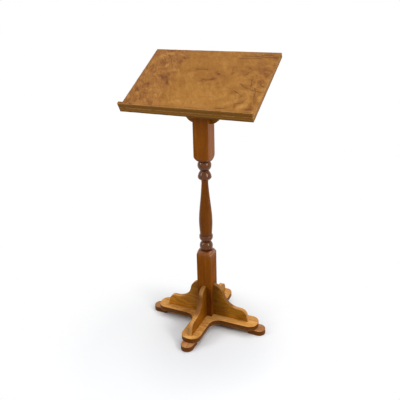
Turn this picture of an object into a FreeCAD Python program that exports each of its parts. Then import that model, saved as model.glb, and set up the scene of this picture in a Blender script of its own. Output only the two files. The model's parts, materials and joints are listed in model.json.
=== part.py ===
"""Atlas stand: a sloped plywood reading board on a turned square post, carried by a cross-shaped
plywood foot.  Four ogee brackets brace the post on the foot, and two of the same outline carry the board.

Frame: +Z up, the reader stands on the -Y side, +X to the reader's right.  The origin is on the floor
on the post's axis.  Every length is in millimetres and every angle in degrees.
"""
import FreeCAD, Part
import math
import os

# ---- the foot -------------------------------------------------------------------------------
pad_thickness = 24.0
pad_width = 55.0
pad_under_arm = 37.0          # length of a pad that lies under its arm
pad_reach = 33.5              # length of a pad that shows beyond its arm
plate_thickness = 23.0
arm_width = 85.0
arm_corner_radius = 38.0
crotch_radius = 46.0          # inside corner between two arms
side_arm_length = 241.0       # from the post's axis to the arm's end
front_arm_length = 216.0      # the same for the front and back arms

# ---- the ogee brackets ----------------------------------------------------------------------
bracket_thickness = 19.5
bracket_length = 163.5        # along the plate, from the post's face
bracket_height = 154.0        # up the post
crest_radius = 46.0           # round top beside the post
shelf_height = 53.5
shelf_start = 118.0           # where the hollow runs out into the flat shelf
shelf_length = 9.0
nose_radius = 30.0

# ---- the turned post ------------------------------------------------------------------------
post_width = 66.0
lower_block_length = 304.0    # from the plate to the lowest point of the turned shoulder
lower_shoulder_height = 17.0
lower_ball_height = 41.5
bowl_height = 31.0
vase_height = 232.0
slim_neck_height = 19.5
bell_height = 41.5
upper_ball_height = 40.0
upper_shoulder_height = 23.0
bead_radius = 28.2            # widest radius of the balls, the bowl and the bell
ball_neck_radius = 16.5       # waist between a ball and its neighbour
shoulder_neck_radius = 23.0   # where a ball runs into a square block
bowl_rim_radius = 26.3
vase_foot_radius = 25.0
vase_middle_radius = 22.7     # halfway up the taper from the belly to the slim neck
vase_foot_flare = 0.08        # slope of the vase's side where it starts
vase_neck_taper = 0.06        # slope of the vase's side where it ends
belly_radius = 28.6
belly_height = 55.0           # widest point of the vase above its foot
slim_neck_radius = 14.5
slim_neck_hollow = 0.2        # how much thinner the slim neck is in its middle
lower_ball_belly = 0.42       # height of a bead's widest point, as a share of that bead's height
bowl_belly = 0.82
bell_belly = 0.27
upper_ball_belly = 0.56
shoulder_bulge = 4.0          # how far a curve stands proud of the straight line between its ends
bowl_side_bulge = 5.0
bowl_lip_bulge = 1.5
bell_lip_bulge = 3.7
bell_side_bulge = 4.2

# ---- the reading board ----------------------------------------------------------------------
board_width = 538.0
board_depth = 373.0           # up the slope
board_thickness = 20.0
board_tilt = 28.3
board_height = 1102.7         # middle of the reading face above the floor
board_forward = 20.3          # middle of the reading face in front of the post's axis
ledge_depth = 12.0
ledge_height = 20.5           # above the reading face
ledge_rebate = 1.5            # depth of the shallow rebate that seats the ledge in the board

# ---- edges and fits -------------------------------------------------------------------------
arris = 1.2                   # rounding that sandpaper leaves on a cut edge
block_arris = 1.6             # rounding on the long corners of the post's square blocks
dowel_clearance = 0.1         # radial, filled with glue
dowel_end_gap = 1.0           # left at each blind end for the glue
screw_clearance = 0.1         # radial
screw_end_gap = 0.5
screw_sink = 1.0              # how far a screw's head lies below the surface
cut_margin = 1.0              # extra stock that a shaped or sloped cut takes away
full_round = 0.499            # share of a width whose radius rounds a whole end
same = 0.001                  # two places closer than this are the same

# ---- dowels and screws ----------------------------------------------------------------------
dowel_radius = 4.0
dowel_length = 32.0
dowel_ease = 0.8              # chamfer on a dowel's ends
dowel_heights = (28.0, 104.0)         # along a bracket's post edge, from its wide end
board_dowel_length = 28.0
board_dowel_in_board = 12.0
board_dowel_places = (40.0, 118.0)    # along a top bracket, from the post's face
post_dowel_radius = 5.0
post_dowel_length = 40.0
post_dowel_in_board = 12.0
post_dowel_spacing = 32.0
head_angle = 90.0
screw_point = 3.0             # length of a screw's point, in shank radii
recess_span = 1.3             # length of a recess slot, in head radii
recess_width = 1.2
recess_depth = 1.6
pad_screw_radius = 2.25
pad_screw_head_radius = 4.4
pad_screw_length = 40.0
pad_screw_spacing = 27.0
bracket_screw_radius = 2.5
bracket_screw_head_radius = 4.9
bracket_screw_length = 60.0
bracket_screw_places = (30.0, 118.0)  # along a bracket, from the post's face
ledge_screw_radius = 1.75
ledge_screw_head_radius = 3.4
ledge_screw_length = 32.0
ledge_screw_count = 4
ledge_screw_end_margin = 48.0
coach_screw_radius = 5.0
coach_screw_length = 95.0
coach_point_length = 10.0
coach_head_across_flats = 17.0
coach_head_height = 7.0
washer_radius = 15.0
washer_thickness = 2.5

# ---- worked out from the sizes above --------------------------------------------------------
plate_bottom = pad_thickness
plate_top = plate_bottom + plate_thickness
post_half = post_width / 2
corner_radius = post_half * math.sqrt(2)
tilt = math.radians(board_tilt)
board_normal = FreeCAD.Vector(0, -math.sin(tilt), math.cos(tilt))
SIDES = {"right": 0, "back": 90, "left": 180, "front": 270}
TOP_SIDES = {"right": 0, "left": 180}
Z_AXIS = FreeCAD.Vector(0, 0, 1)
ORIGIN = FreeCAD.Vector(0, 0, 0)


def arm_length(side):
    """Distance from the post's axis to the end of the arm on that side."""
    return side_arm_length if side in ("right", "left") else front_arm_length


def underside_height(y):
    """Height of the board's underside above the floor, at a distance y behind the post's axis."""
    rise = (y + board_forward) * math.tan(tilt)
    return board_height + rise - board_thickness / math.cos(tilt)


# ---- small helpers --------------------------------------------------------------------------
def turned(shape, angle):
    """A copy of the shape, turned about the post's axis."""
    copy = shape.copy()
    copy.rotate(ORIGIN, Z_AXIS, angle)
    return copy


def moved(shape, x, y, z):
    """A copy of the shape, moved."""
    copy = shape.copy()
    copy.translate(FreeCAD.Vector(x, y, z))
    return copy


def pointing(shape, place, direction):
    """A copy of a shape made along +Z from the origin, set at a place and along a direction."""
    copy = shape.copy()
    copy.Placement = FreeCAD.Placement(place, FreeCAD.Rotation(Z_AXIS, direction))
    return copy


def on_board(shape):
    """From the board's own frame (middle of the reading face, +Y up the slope, +Z out) to the part's."""
    copy = shape.copy()
    turn = FreeCAD.Rotation(FreeCAD.Vector(1, 0, 0), board_tilt)
    copy.Placement = FreeCAD.Placement(FreeCAD.Vector(0, -board_forward, board_height), turn)
    return copy


def centred_box(width, depth, z_low, z_high):
    """A box centred on the Z axis."""
    height = z_high - z_low
    return Part.makeBox(width, depth, height, FreeCAD.Vector(-width / 2, -depth / 2, z_low))


def rounded_bar(length, width, radius, z_low, z_high):
    """A flat bar along X, centred on the origin, with the same radius on its four corners."""
    bar = centred_box(length, width, z_low, z_high)
    limit = full_round * min(length, width)
    upright = [e for e in bar.Edges if is_upright(e)]
    return bar.makeFillet(min(radius, limit), upright)


def is_upright(edge):
    """Whether a straight edge runs along Z."""
    return abs(edge.tangentAt(edge.FirstParameter).z) > 1 - same


def edges_between(shape, test):
    """The edges of a shape for which the test holds at both ends and in the middle."""
    chosen = []
    for edge in shape.Edges:
        middle = edge.valueAt((edge.FirstParameter + edge.LastParameter) / 2)
        points = [v.Point for v in edge.Vertexes] + [middle]
        if all(test(p) for p in points):
            chosen.append(edge)
    return chosen


def eased(shape, test, radius):
    """The shape with the chosen edges rounded."""
    return shape.makeFillet(radius, edges_between(shape, test))


def revolved(outline):
    """A solid of revolution about Z from (radius, height) points joined by straight lines."""
    points = [FreeCAD.Vector(r, 0, z) for r, z in outline]
    wire = Part.makePolygon(points + points[:1])
    return Part.Face(wire).revolve(ORIGIN, Z_AXIS, 360)


# ---- dowels and screws ----------------------------------------------------------------------
def dowel(radius, length):
    """A dowel along +Z, centred on the origin, with its ends eased."""
    rod = Part.makeCylinder(radius, length, FreeCAD.Vector(0, 0, -length / 2))
    rims = [e for e in rod.Edges if abs(e.Length - 2 * math.pi * radius) < same]
    return rod.makeChamfer(dowel_ease, rims)


def dowel_hole(radius, length):
    """The space that a dowel needs in the two pieces that it joins."""
    full = length + 2 * dowel_end_gap
    return Part.makeCylinder(radius + dowel_clearance, full, FreeCAD.Vector(0, 0, -full / 2))


def screw_outline(radius, head_radius, length, spread, end_gap):
    """Half outline of a countersunk screw along +Z, from the edge of its head to its point."""
    head = (head_radius - radius) / math.tan(math.radians(head_angle / 2))
    return [(head_radius + spread, screw_sink), (radius + spread, screw_sink + head),
            (radius + spread, screw_sink + length - screw_point * radius),
            (0, screw_sink + length + end_gap)]


def screw(radius, head_radius, length):
    """A countersunk wood screw with a cross recess, sunk below the surface at the origin."""
    body = revolved([(0, screw_sink)] + screw_outline(radius, head_radius, length, 0, 0))
    slot = centred_box(recess_span * head_radius, recess_width, screw_sink, screw_sink + recess_depth)
    return body.cut(slot.fuse(turned(slot, 90)))


def screw_hole(radius, head_radius, length):
    """The sinking, countersink and bore for that screw, through one piece and into the next."""
    sinking = [(0, 0), (head_radius + screw_clearance, 0)]
    bore = screw_outline(radius, head_radius, length, screw_clearance, screw_end_gap)
    return revolved(sinking + bore)


def group(solids):
    """Separate solids that share one node."""
    return Part.makeCompound(solids)


# ---- where the fasteners go: each list holds (place, direction) ------------------------------
def around(sides, place, direction):
    """The same place and direction, turned to each side of the post."""
    result = []
    for angle in sides.values():
        turn = FreeCAD.Rotation(Z_AXIS, angle)
        result.append((turn.multVec(place), turn.multVec(direction)))
    return result


def base_dowel_seats():
    """Dowels between the base brackets and the post."""
    seats = []
    for height in dowel_heights:
        place = FreeCAD.Vector(post_half, 0, plate_top + height)
        seats += around(SIDES, place, FreeCAD.Vector(1, 0, 0))
    return seats


def top_dowel_seats():
    """Dowels between the top brackets and the post."""
    seats = []
    for height in dowel_heights:
        place = FreeCAD.Vector(post_half, 0, top_bracket_datum() - height)
        seats += around(TOP_SIDES, place, FreeCAD.Vector(1, 0, 0))
    return seats


def board_dowel_seats():
    """Upright dowels between the top brackets and the board."""
    seats = []
    middle = underside_height(0) + board_dowel_in_board - board_dowel_length / 2
    for along in board_dowel_places:
        place = FreeCAD.Vector(post_half + along, 0, middle)
        seats += around(TOP_SIDES, place, Z_AXIS)
    return seats


def post_dowel_seats():
    """Dowels between the post's sloped top and the board, square to the board."""
    depth = board_normal * (post_dowel_in_board - post_dowel_length / 2)
    seats = []
    for x in (-post_dowel_spacing / 2, post_dowel_spacing / 2):
        seats.append((FreeCAD.Vector(x, 0, underside_height(0)) + depth, board_normal))
    return seats


def pad_screw_seats(side):
    """Screws up through a pad into its arm."""
    along = arm_length(side) - pad_under_arm / 2
    turn = FreeCAD.Rotation(Z_AXIS, SIDES[side])
    offsets = (-pad_screw_spacing / 2, pad_screw_spacing / 2)
    return [(turn.multVec(FreeCAD.Vector(along, y, 0)), Z_AXIS) for y in offsets]


def bracket_screw_seats():
    """Screws up through the plate into the base brackets."""
    seats = []
    for along in bracket_screw_places:
        seats += around(SIDES, FreeCAD.Vector(post_half + along, 0, plate_bottom), Z_AXIS)
    return seats


def ledge_screw_seats():
    """Screws up through the board into the ledge, in the board's own frame."""
    span = board_width - 2 * ledge_screw_end_margin
    y = (ledge_depth - board_depth) / 2
    step = span / (ledge_screw_count - 1)
    places = [FreeCAD.Vector(i * step - span / 2, y, -board_thickness) for i in range(ledge_screw_count)]
    return [(place, Z_AXIS) for place in places]


def placed(shape, seats):
    """One copy of the shape at each seat."""
    return [pointing(shape, place, direction) for place, direction in seats]


# ---- the foot -------------------------------------------------------------------------------
def foot_pad(side):
    """A round-ended pad under the end of one arm."""
    length = pad_under_arm + pad_reach
    inner_end = -length / 2
    bar = centred_box(length, pad_width, 0, pad_thickness)
    outer = [e for e in bar.Edges if is_upright(e) and e.valueAt(e.FirstParameter).x > 0]
    pad = bar.makeFillet(min(full_round * pad_width, length - arris), outer)
    pad = eased(pad, lambda p: abs(p.z) < same, arris)
    pad = eased(pad, lambda p: abs(p.z - pad_thickness) < same and p.x > inner_end + arris, arris)
    pad = turned(moved(pad, arm_length(side) + pad_reach - length / 2, 0, 0), SIDES[side])
    bores = screw_hole(pad_screw_radius, pad_screw_head_radius, pad_screw_length)
    return pad.cut(placed(bores, pad_screw_seats(side)))


def base_plate():
    """The cross-shaped plate, with the bores for its screws."""
    sides = rounded_bar(2 * side_arm_length, arm_width, arm_corner_radius, plate_bottom, plate_top)
    front = rounded_bar(2 * front_arm_length, arm_width, arm_corner_radius, plate_bottom, plate_top)
    cross = sides.fuse(turned(front, 90)).removeSplitter()
    half = arm_width / 2
    crotches = edges_between(cross, lambda p: abs(abs(p.x) - half) < same and abs(abs(p.y) - half) < same)
    cross = cross.makeFillet(crotch_radius, crotches)
    cross = eased(cross, lambda p: abs(p.z - plate_top) < same or abs(p.z - plate_bottom) < same, arris)
    bores = []
    for side in SIDES:
        bores += placed(screw_hole(pad_screw_radius, pad_screw_head_radius, pad_screw_length),
                        pad_screw_seats(side))
    bores += placed(screw_hole(bracket_screw_radius, bracket_screw_head_radius, bracket_screw_length),
                    bracket_screw_seats())
    bores.append(coach_screw_hole(plate_bottom - washer_thickness))
    return cross.cut(bores)


# ---- the brackets ---------------------------------------------------------------------------
def bracket_outline(extra):
    """The ogee outline in (distance from the post, height), with its wide end lengthened by extra."""
    crest = FreeCAD.Vector(0, 0, bracket_height - crest_radius)
    drop = crest.z - shelf_height
    reach = shelf_start ** 2 + drop ** 2 - crest_radius ** 2
    sweep_radius = reach / (2 * (crest_radius + drop))
    hollow = FreeCAD.Vector(shelf_start, 0, shelf_height + sweep_radius)
    nose = FreeCAD.Vector(shelf_start + shelf_length, 0, shelf_height - nose_radius)
    toe = FreeCAD.Vector(bracket_length, 0, 0)

    def at(centre, radius, angle):
        return centre + FreeCAD.Vector(radius * math.cos(angle), 0, radius * math.sin(angle))

    bend = math.atan2(hollow.z - crest.z, hollow.x)
    crest_top = at(crest, crest_radius, math.pi / 2)
    crest_mid = at(crest, crest_radius, (bend + math.pi / 2) / 2)
    join = at(crest, crest_radius, bend)
    hollow_start = bend + math.pi
    hollow_mid = at(hollow, sweep_radius, (hollow_start + 3 * math.pi / 2) / 2)
    shelf_a = at(hollow, sweep_radius, 3 * math.pi / 2)
    shelf_b = at(nose, nose_radius, math.pi / 2)
    to_toe = toe - nose
    lean = math.atan2(to_toe.z, to_toe.x) + math.acos(nose_radius / to_toe.Length)
    nose_mid = at(nose, nose_radius, (lean + math.pi / 2) / 2)
    nose_end = at(nose, nose_radius, lean)
    edges = [Part.Arc(crest_top, crest_mid, join), Part.Arc(join, hollow_mid, shelf_a),
             Part.LineSegment(shelf_a, shelf_b), Part.Arc(shelf_b, nose_mid, nose_end),
             Part.LineSegment(nose_end, toe)]
    heel = FreeCAD.Vector(0, 0, -extra)
    if extra > 0:
        low_toe = FreeCAD.Vector(bracket_length, 0, -extra)
        edges.append(Part.LineSegment(toe, low_toe))
        edges.append(Part.LineSegment(low_toe, heel))
    else:
        edges.append(Part.LineSegment(toe, heel))
    edges.append(Part.LineSegment(heel, crest_top))
    return Part.Wire([e.toShape() for e in edges])


def bracket_blank(extra):
    """A bracket standing on Z = 0, its post edge at X = 0, with its two shaped arrises eased."""
    blank = Part.Face(bracket_outline(extra)).extrude(FreeCAD.Vector(0, bracket_thickness, 0))
    blank = moved(blank, 0, -bracket_thickness / 2, 0)
    half = bracket_thickness / 2

    def shaped(p):
        return abs(abs(p.y) - half) < same and p.x > -same and p.z > -same

    def flat(edge):
        ends = [v.Point for v in edge.Vertexes]
        return all(abs(p.x) < same for p in ends) or all(abs(p.z) < same for p in ends)

    chosen = [e for e in edges_between(blank, shaped) if not flat(e)]
    return blank.makeFillet(arris, chosen)


def base_bracket(side):
    """One of the four brackets that brace the post on the plate."""
    bracket = turned(moved(bracket_blank(0), post_half, 0, plate_top), SIDES[side])
    bores = placed(dowel_hole(dowel_radius, dowel_length), base_dowel_seats())
    bores += placed(screw_hole(bracket_screw_radius, bracket_screw_head_radius, bracket_screw_length),
                    bracket_screw_seats())
    return bracket.cut(bores)


def top_bracket_datum():
    """Height of a top bracket's wide end, at its face nearest the reader."""
    return underside_height(-bracket_thickness / 2)


def top_bracket(side):
    """The same outline upside down, its wide end bevelled to the board."""
    bevel = bracket_thickness * math.tan(tilt)
    blank = bracket_blank(bevel + cut_margin)
    blank.rotate(ORIGIN, FreeCAD.Vector(1, 0, 0), 180)
    blank = turned(moved(blank, post_half, 0, top_bracket_datum()), TOP_SIDES[side])
    bracket = blank.common(below_board())
    bores = placed(dowel_hole(dowel_radius, dowel_length), top_dowel_seats())
    bores += placed(dowel_hole(dowel_radius, board_dowel_length), board_dowel_seats())
    return bracket.cut(bores)


# ---- the post -------------------------------------------------------------------------------
def arc_edge(a, b, c):
    """An arc through three (radius, height) points."""
    points = [FreeCAD.Vector(r, 0, z) for r, z in (a, b, c)]
    return Part.Arc(*points).toShape()


def line_edge(a, b):
    """A straight edge between two (radius, height) points."""
    return Part.LineSegment(FreeCAD.Vector(a[0], 0, a[1]), FreeCAD.Vector(b[0], 0, b[1])).toShape()


def bulged(a, b, bulge):
    """An arc from a to b that stands proud of the straight line, away from the axis, by bulge."""
    run = math.hypot(b[0] - a[0], b[1] - a[1])
    side = (abs(b[1] - a[1]) / run, abs(b[0] - a[0]) / run * (1 if b[1] > a[1] and b[0] < a[0] else -1))
    middle = ((a[0] + b[0]) / 2 + bulge * side[0], (a[1] + b[1]) / 2 + bulge * side[1])
    return arc_edge(a, middle, b)


def vase_edge(foot, top):
    """The long vase: out from its foot to the belly, then a slow taper to the slim neck."""
    belly = foot + belly_height
    taper = top - belly
    points = [FreeCAD.Vector(vase_foot_radius, 0, foot),
              FreeCAD.Vector(belly_radius, 0, belly),
              FreeCAD.Vector(vase_middle_radius, 0, belly + taper / 2),
              FreeCAD.Vector(slim_neck_radius, 0, top)]
    curve = Part.BSplineCurve()
    curve.interpolate(Points=points, InitialTangent=FreeCAD.Vector(vase_foot_flare, 0, 1),
                      FinalTangent=FreeCAD.Vector(-vase_neck_taper, 0, 1))
    return curve.toShape()


def turning():
    """The lathe-turned envelope of the whole post, from the plate up past the board."""
    low = plate_top
    block = low + lower_block_length
    ball = block + lower_shoulder_height
    bowl = ball + lower_ball_height
    vase = bowl + bowl_height
    neck = vase + vase_height
    bell = neck + slim_neck_height
    top_ball = bell + bell_height
    shoulder = top_ball + upper_ball_height
    top_block = shoulder + upper_shoulder_height
    end = underside_height(post_half) + post_width
    outside = corner_radius + cut_margin
    bowl_lip = bowl + bowl_belly * bowl_height
    bell_lip = bell + bell_belly * bell_height
    edges = [line_edge((0, low), (outside, low)), line_edge((outside, low), (outside, block)),
             line_edge((outside, block), (corner_radius, block))]
    edges.append(bulged((corner_radius, block), (shoulder_neck_radius, ball), shoulder_bulge))
    edges.append(arc_edge((shoulder_neck_radius, ball),
                          (bead_radius, ball + lower_ball_belly * lower_ball_height),
                          (ball_neck_radius, bowl)))
    edges.append(bulged((ball_neck_radius, bowl), (bead_radius, bowl_lip), bowl_side_bulge))
    edges.append(bulged((bead_radius, bowl_lip), (bowl_rim_radius, vase), bowl_lip_bulge))
    edges.append(line_edge((bowl_rim_radius, vase), (vase_foot_radius, vase)))
    edges.append(vase_edge(vase, neck))
    edges.append(arc_edge((slim_neck_radius, neck),
                          (slim_neck_radius - slim_neck_hollow, neck + slim_neck_height / 2),
                          (ball_neck_radius, bell)))
    edges.append(bulged((ball_neck_radius, bell), (bead_radius, bell_lip), bell_lip_bulge))
    edges.append(bulged((bead_radius, bell_lip), (ball_neck_radius, top_ball), bell_side_bulge))
    edges.append(arc_edge((ball_neck_radius, top_ball),
                          (bead_radius, top_ball + upper_ball_belly * upper_ball_height),
                          (shoulder_neck_radius, shoulder)))
    edges.append(bulged((shoulder_neck_radius, shoulder), (corner_radius, top_block), shoulder_bulge))
    edges += [line_edge((corner_radius, top_block), (outside, top_block)),
              line_edge((outside, top_block), (outside, end)), line_edge((outside, end), (0, end)),
              line_edge((0, end), (0, low))]
    return Part.Face(Part.Wire(edges)).revolve(ORIGIN, Z_AXIS, 360)


def turned_post():
    """The square stick, turned between its two blocks and cut off along the board's slope."""
    stick = centred_box(post_width, post_width, plate_top, underside_height(post_half) + cut_margin)
    upright = [e for e in stick.Edges if is_upright(e)]
    post = stick.makeFillet(block_arris, upright).common(turning()).common(below_board())
    bores = placed(dowel_hole(dowel_radius, dowel_length), base_dowel_seats() + top_dowel_seats())
    bores += placed(dowel_hole(post_dowel_radius, post_dowel_length), post_dowel_seats())
    bores.append(coach_screw_hole(plate_bottom - washer_thickness))
    return post.cut(bores)


# ---- the board and its ledge ----------------------------------------------------------------
def below_board():
    """Everything under the plane of the board's underside."""
    reach = 2 * (board_width + board_depth)
    return on_board(centred_box(reach, reach, -board_thickness - reach, -board_thickness))


def reading_board():
    """The flat plywood board, rebated for its ledge, with the blind bores in its underside."""
    board = centred_box(board_width, board_depth, -board_thickness, 0)
    board = eased(board, lambda p: abs(p.z) < same or abs(p.z + board_thickness) < same, arris)
    rebate = centred_box(board_width, ledge_depth, -ledge_rebate, cut_margin)
    board = board.cut(moved(rebate, 0, (ledge_depth - board_depth) / 2, 0))
    board = board.cut(placed(screw_hole(ledge_screw_radius, ledge_screw_head_radius, ledge_screw_length),
                             ledge_screw_seats()))
    bores = placed(dowel_hole(dowel_radius, board_dowel_length), board_dowel_seats())
    bores += placed(dowel_hole(post_dowel_radius, post_dowel_length), post_dowel_seats())
    return on_board(board).cut(bores)


def book_ledge():
    """The strip that stops a book: seated in the rebate, its inner side flat from the board's face up."""
    strip = centred_box(board_width, ledge_depth, -ledge_rebate, ledge_height)
    strip = eased(strip, lambda p: abs(p.z - ledge_height) < same, arris)
    strip = eased(strip, lambda p: abs(p.z + ledge_rebate) < same and p.y > 0, ledge_rebate)
    strip = moved(strip, 0, (ledge_depth - board_depth) / 2, 0)
    bores = placed(screw_hole(ledge_screw_radius, ledge_screw_head_radius, ledge_screw_length),
                   ledge_screw_seats())
    return on_board(strip.cut(bores))


# ---- the coach screw up into the post's foot --------------------------------------------------
def coach_screw():
    """A hexagon-headed coach screw along the post's axis, its head under the plate."""
    head_top = plate_bottom - washer_thickness
    head_bottom = head_top - coach_head_height
    across_corners = coach_head_across_flats / math.cos(math.radians(30)) / 2
    corners = [FreeCAD.Vector(across_corners * math.cos(math.radians(60 * i)),
                              across_corners * math.sin(math.radians(60 * i)), head_bottom) for i in range(7)]
    head = Part.Face(Part.makePolygon(corners)).extrude(FreeCAD.Vector(0, 0, coach_head_height))
    shank = revolved([(0, head_top), (coach_screw_radius, head_top),
                      (coach_screw_radius, head_top + coach_screw_length - coach_point_length),
                      (0, head_top + coach_screw_length)])
    return head.fuse(shank).removeSplitter()


def coach_screw_hole(start):
    """The bore for the coach screw, from a height below it up to its point."""
    end = plate_bottom - washer_thickness + coach_screw_length + screw_end_gap
    return Part.makeCylinder(coach_screw_radius + screw_clearance, end - start, FreeCAD.Vector(0, 0, start))


def post_washer():
    """The washer between the coach screw's head and the plate."""
    low = plate_bottom - washer_thickness
    disc = Part.makeCylinder(washer_radius, washer_thickness, FreeCAD.Vector(0, 0, low))
    return disc.cut(coach_screw_hole(low))


def build():
    """Every sub-part, by node name."""
    parts = {"base_plate": base_plate(), "turned_post": turned_post(),
             "reading_board": reading_board(), "book_ledge": book_ledge(),
             "post_coach_screw": coach_screw(), "post_washer": post_washer()}
    for side in SIDES:
        parts["foot_pad_" + side] = foot_pad(side)
        parts["base_bracket_" + side] = base_bracket(side)
    for side in TOP_SIDES:
        parts["top_bracket_" + side] = top_bracket(side)
    pad_seats = [seat for side in SIDES for seat in pad_screw_seats(side)]
    parts["pad_screws"] = group(placed(screw(pad_screw_radius, pad_screw_head_radius, pad_screw_length),
                                       pad_seats))
    parts["bracket_screws"] = group(placed(
        screw(bracket_screw_radius, bracket_screw_head_radius, bracket_screw_length), bracket_screw_seats()))
    ledge_screws = group(placed(screw(ledge_screw_radius, ledge_screw_head_radius, ledge_screw_length),
                                ledge_screw_seats()))
    parts["ledge_screws"] = on_board(ledge_screws)
    parts["base_bracket_dowels"] = group(placed(dowel(dowel_radius, dowel_length), base_dowel_seats()))
    parts["top_bracket_dowels"] = group(placed(dowel(dowel_radius, dowel_length), top_dowel_seats()))
    parts["board_bracket_dowels"] = group(placed(dowel(dowel_radius, board_dowel_length),
                                                 board_dowel_seats()))
    parts["board_post_dowels"] = group(placed(dowel(post_dowel_radius, post_dowel_length),
                                              post_dowel_seats()))
    return parts


os.makedirs("parts", exist_ok=True)
for name, shape in build().items():
    shape.exportStep("parts/" + name + ".step")
    print(name, len(shape.Solids), "solid(s)", round(shape.Volume / 1000, 1), "cm3", shape.isValid())
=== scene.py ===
# %% [markdown]
# # An atlas stand, dressed in wood and varnish
#
# The stand is a sloped plywood board on a turned post, braced by six brackets of one outline and
# carried by a cross-shaped foot.  A imported CAD model already holds its sizes and hidden fasteners.
# This lesson builds the wood that shows around that frame, so nothing here may move or grow a part.
# The frame is loaded first.

# %% The imported model
import json
import math

import bmesh
import bpy
from mathutils import Matrix, Vector, noise


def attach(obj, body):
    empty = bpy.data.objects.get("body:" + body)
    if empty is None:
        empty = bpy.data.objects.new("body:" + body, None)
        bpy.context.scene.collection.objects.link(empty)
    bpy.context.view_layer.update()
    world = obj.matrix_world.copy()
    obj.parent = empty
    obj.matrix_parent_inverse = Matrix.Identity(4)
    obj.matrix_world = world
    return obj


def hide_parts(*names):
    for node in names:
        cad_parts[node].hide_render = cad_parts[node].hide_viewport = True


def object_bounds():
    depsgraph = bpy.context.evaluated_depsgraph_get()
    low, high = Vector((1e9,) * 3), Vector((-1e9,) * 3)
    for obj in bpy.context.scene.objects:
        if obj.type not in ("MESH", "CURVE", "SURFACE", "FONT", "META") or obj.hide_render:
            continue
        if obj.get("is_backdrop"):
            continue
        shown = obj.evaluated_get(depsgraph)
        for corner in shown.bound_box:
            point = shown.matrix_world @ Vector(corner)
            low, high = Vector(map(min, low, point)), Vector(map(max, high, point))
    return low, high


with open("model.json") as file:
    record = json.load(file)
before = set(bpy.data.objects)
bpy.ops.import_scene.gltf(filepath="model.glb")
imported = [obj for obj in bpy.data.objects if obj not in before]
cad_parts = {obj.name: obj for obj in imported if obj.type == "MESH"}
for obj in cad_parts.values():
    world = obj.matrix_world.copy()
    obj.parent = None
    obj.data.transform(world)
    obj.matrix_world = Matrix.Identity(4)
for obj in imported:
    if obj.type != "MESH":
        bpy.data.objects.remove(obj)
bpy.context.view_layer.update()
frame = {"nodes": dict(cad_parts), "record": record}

MM = 0.001

# %% [markdown]
# Most pieces stand square on the floor, but the board and its ledge lie in a tilted frame of their
# own.  The record's mount on the reading face gives that frame: its point is the middle of the
# face and its axis is the way the face looks.  A size that the CAD model already has is measured
# from a node in the frame where the node is square, so no number is written twice.

# %% The board's own frame, and a way to measure in it
STRAIGHT = Matrix.Identity(4)
reading_face = next(mount for mount in frame["record"]["mounts"] if mount["name"] == "reading_face")
face_middle, face_axis = Vector(reading_face["pos_m"]), Vector(reading_face["axis"])
BOARD_TILT = math.atan2(-face_axis.y, face_axis.z)
ON_BOARD = Matrix.Translation(face_middle) @ Matrix.Rotation(BOARD_TILT, 4, "X")


def extent(points):
    """Lowest and highest corner of some points."""
    low = Vector([min(p[i] for p in points) for i in range(3)])
    high = Vector([max(p[i] for p in points) for i in range(3)])
    return low, high


def measured(node, held=STRAIGHT):
    """Lowest and highest corner of a CAD node, in a frame that holds it square."""
    back = held.inverted()
    return extent([back @ v.co for v in frame["nodes"][node].data.vertices])


board_low, board_high = measured("reading_board", ON_BOARD)
board_size = board_high - board_low
print("board tilt", round(math.degrees(BOARD_TILT), 2), "size", [round(v, 4) for v in board_size])

# %% [markdown]
# The camera stands in front of the stand, a little to the reader's right and above the board, and
# leans by a degree and a half.  Its three axes are written out from the azimuth and the elevation,
# then rolled about the line of sight.

# %% The camera
CAMERA_PLACE = (0.84672, -1.86951, 1.45624)
CAMERA_AZIMUTH = math.radians(24.98)
CAMERA_ELEVATION = math.radians(22.61)
CAMERA_ROLL = math.radians(-1.61)
PICTURE_WIDTH = 400
FOCAL_PIXELS = 529.9
SENSOR_WIDTH = 36.0


def looking_back(azimuth, elevation):
    """Unit vector from the object towards a viewer at that azimuth and elevation."""
    level = math.cos(elevation)
    return Vector((math.sin(azimuth) * level, -math.cos(azimuth) * level, math.sin(elevation)))


back = looking_back(CAMERA_AZIMUTH, CAMERA_ELEVATION)
right = Vector((math.cos(CAMERA_AZIMUTH), math.sin(CAMERA_AZIMUTH), 0))
turned_axes = Matrix([right, back.cross(right), back]).transposed().to_4x4()
camera = bpy.data.objects.new("camera", bpy.data.cameras.new("camera"))
bpy.context.scene.collection.objects.link(camera)
camera.data.sensor_width = SENSOR_WIDTH
camera.data.lens = FOCAL_PIXELS * SENSOR_WIDTH / PICTURE_WIDTH
camera.matrix_world = (Matrix.Translation(CAMERA_PLACE) @ turned_axes
                       @ Matrix.Rotation(CAMERA_ROLL, 4, "Z"))
bpy.context.scene.camera = camera
print("camera lens", round(camera.data.lens, 2), "mm")

# %% [markdown]
# Both shaders and Geometry Nodes are graphs of nodes.  Writing them node by node hides the maths,
# so one small class wraps a socket and lets Python's operators add the Math nodes.  Every operator
# does the same with another word, so one function makes them all.  A second class owns the tree and
# adds every other node.  The two serve materials and geometry alike.

# %% Node trees written as expressions
def adds(operation, reflected=False):
    """A method that adds a Math node; reflected, the wire stands on the operator's right."""
    def method(self, *others):
        values = (*others, self) if reflected else (self, *others)
        return self.graph.maths(operation, *values)
    return method


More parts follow.
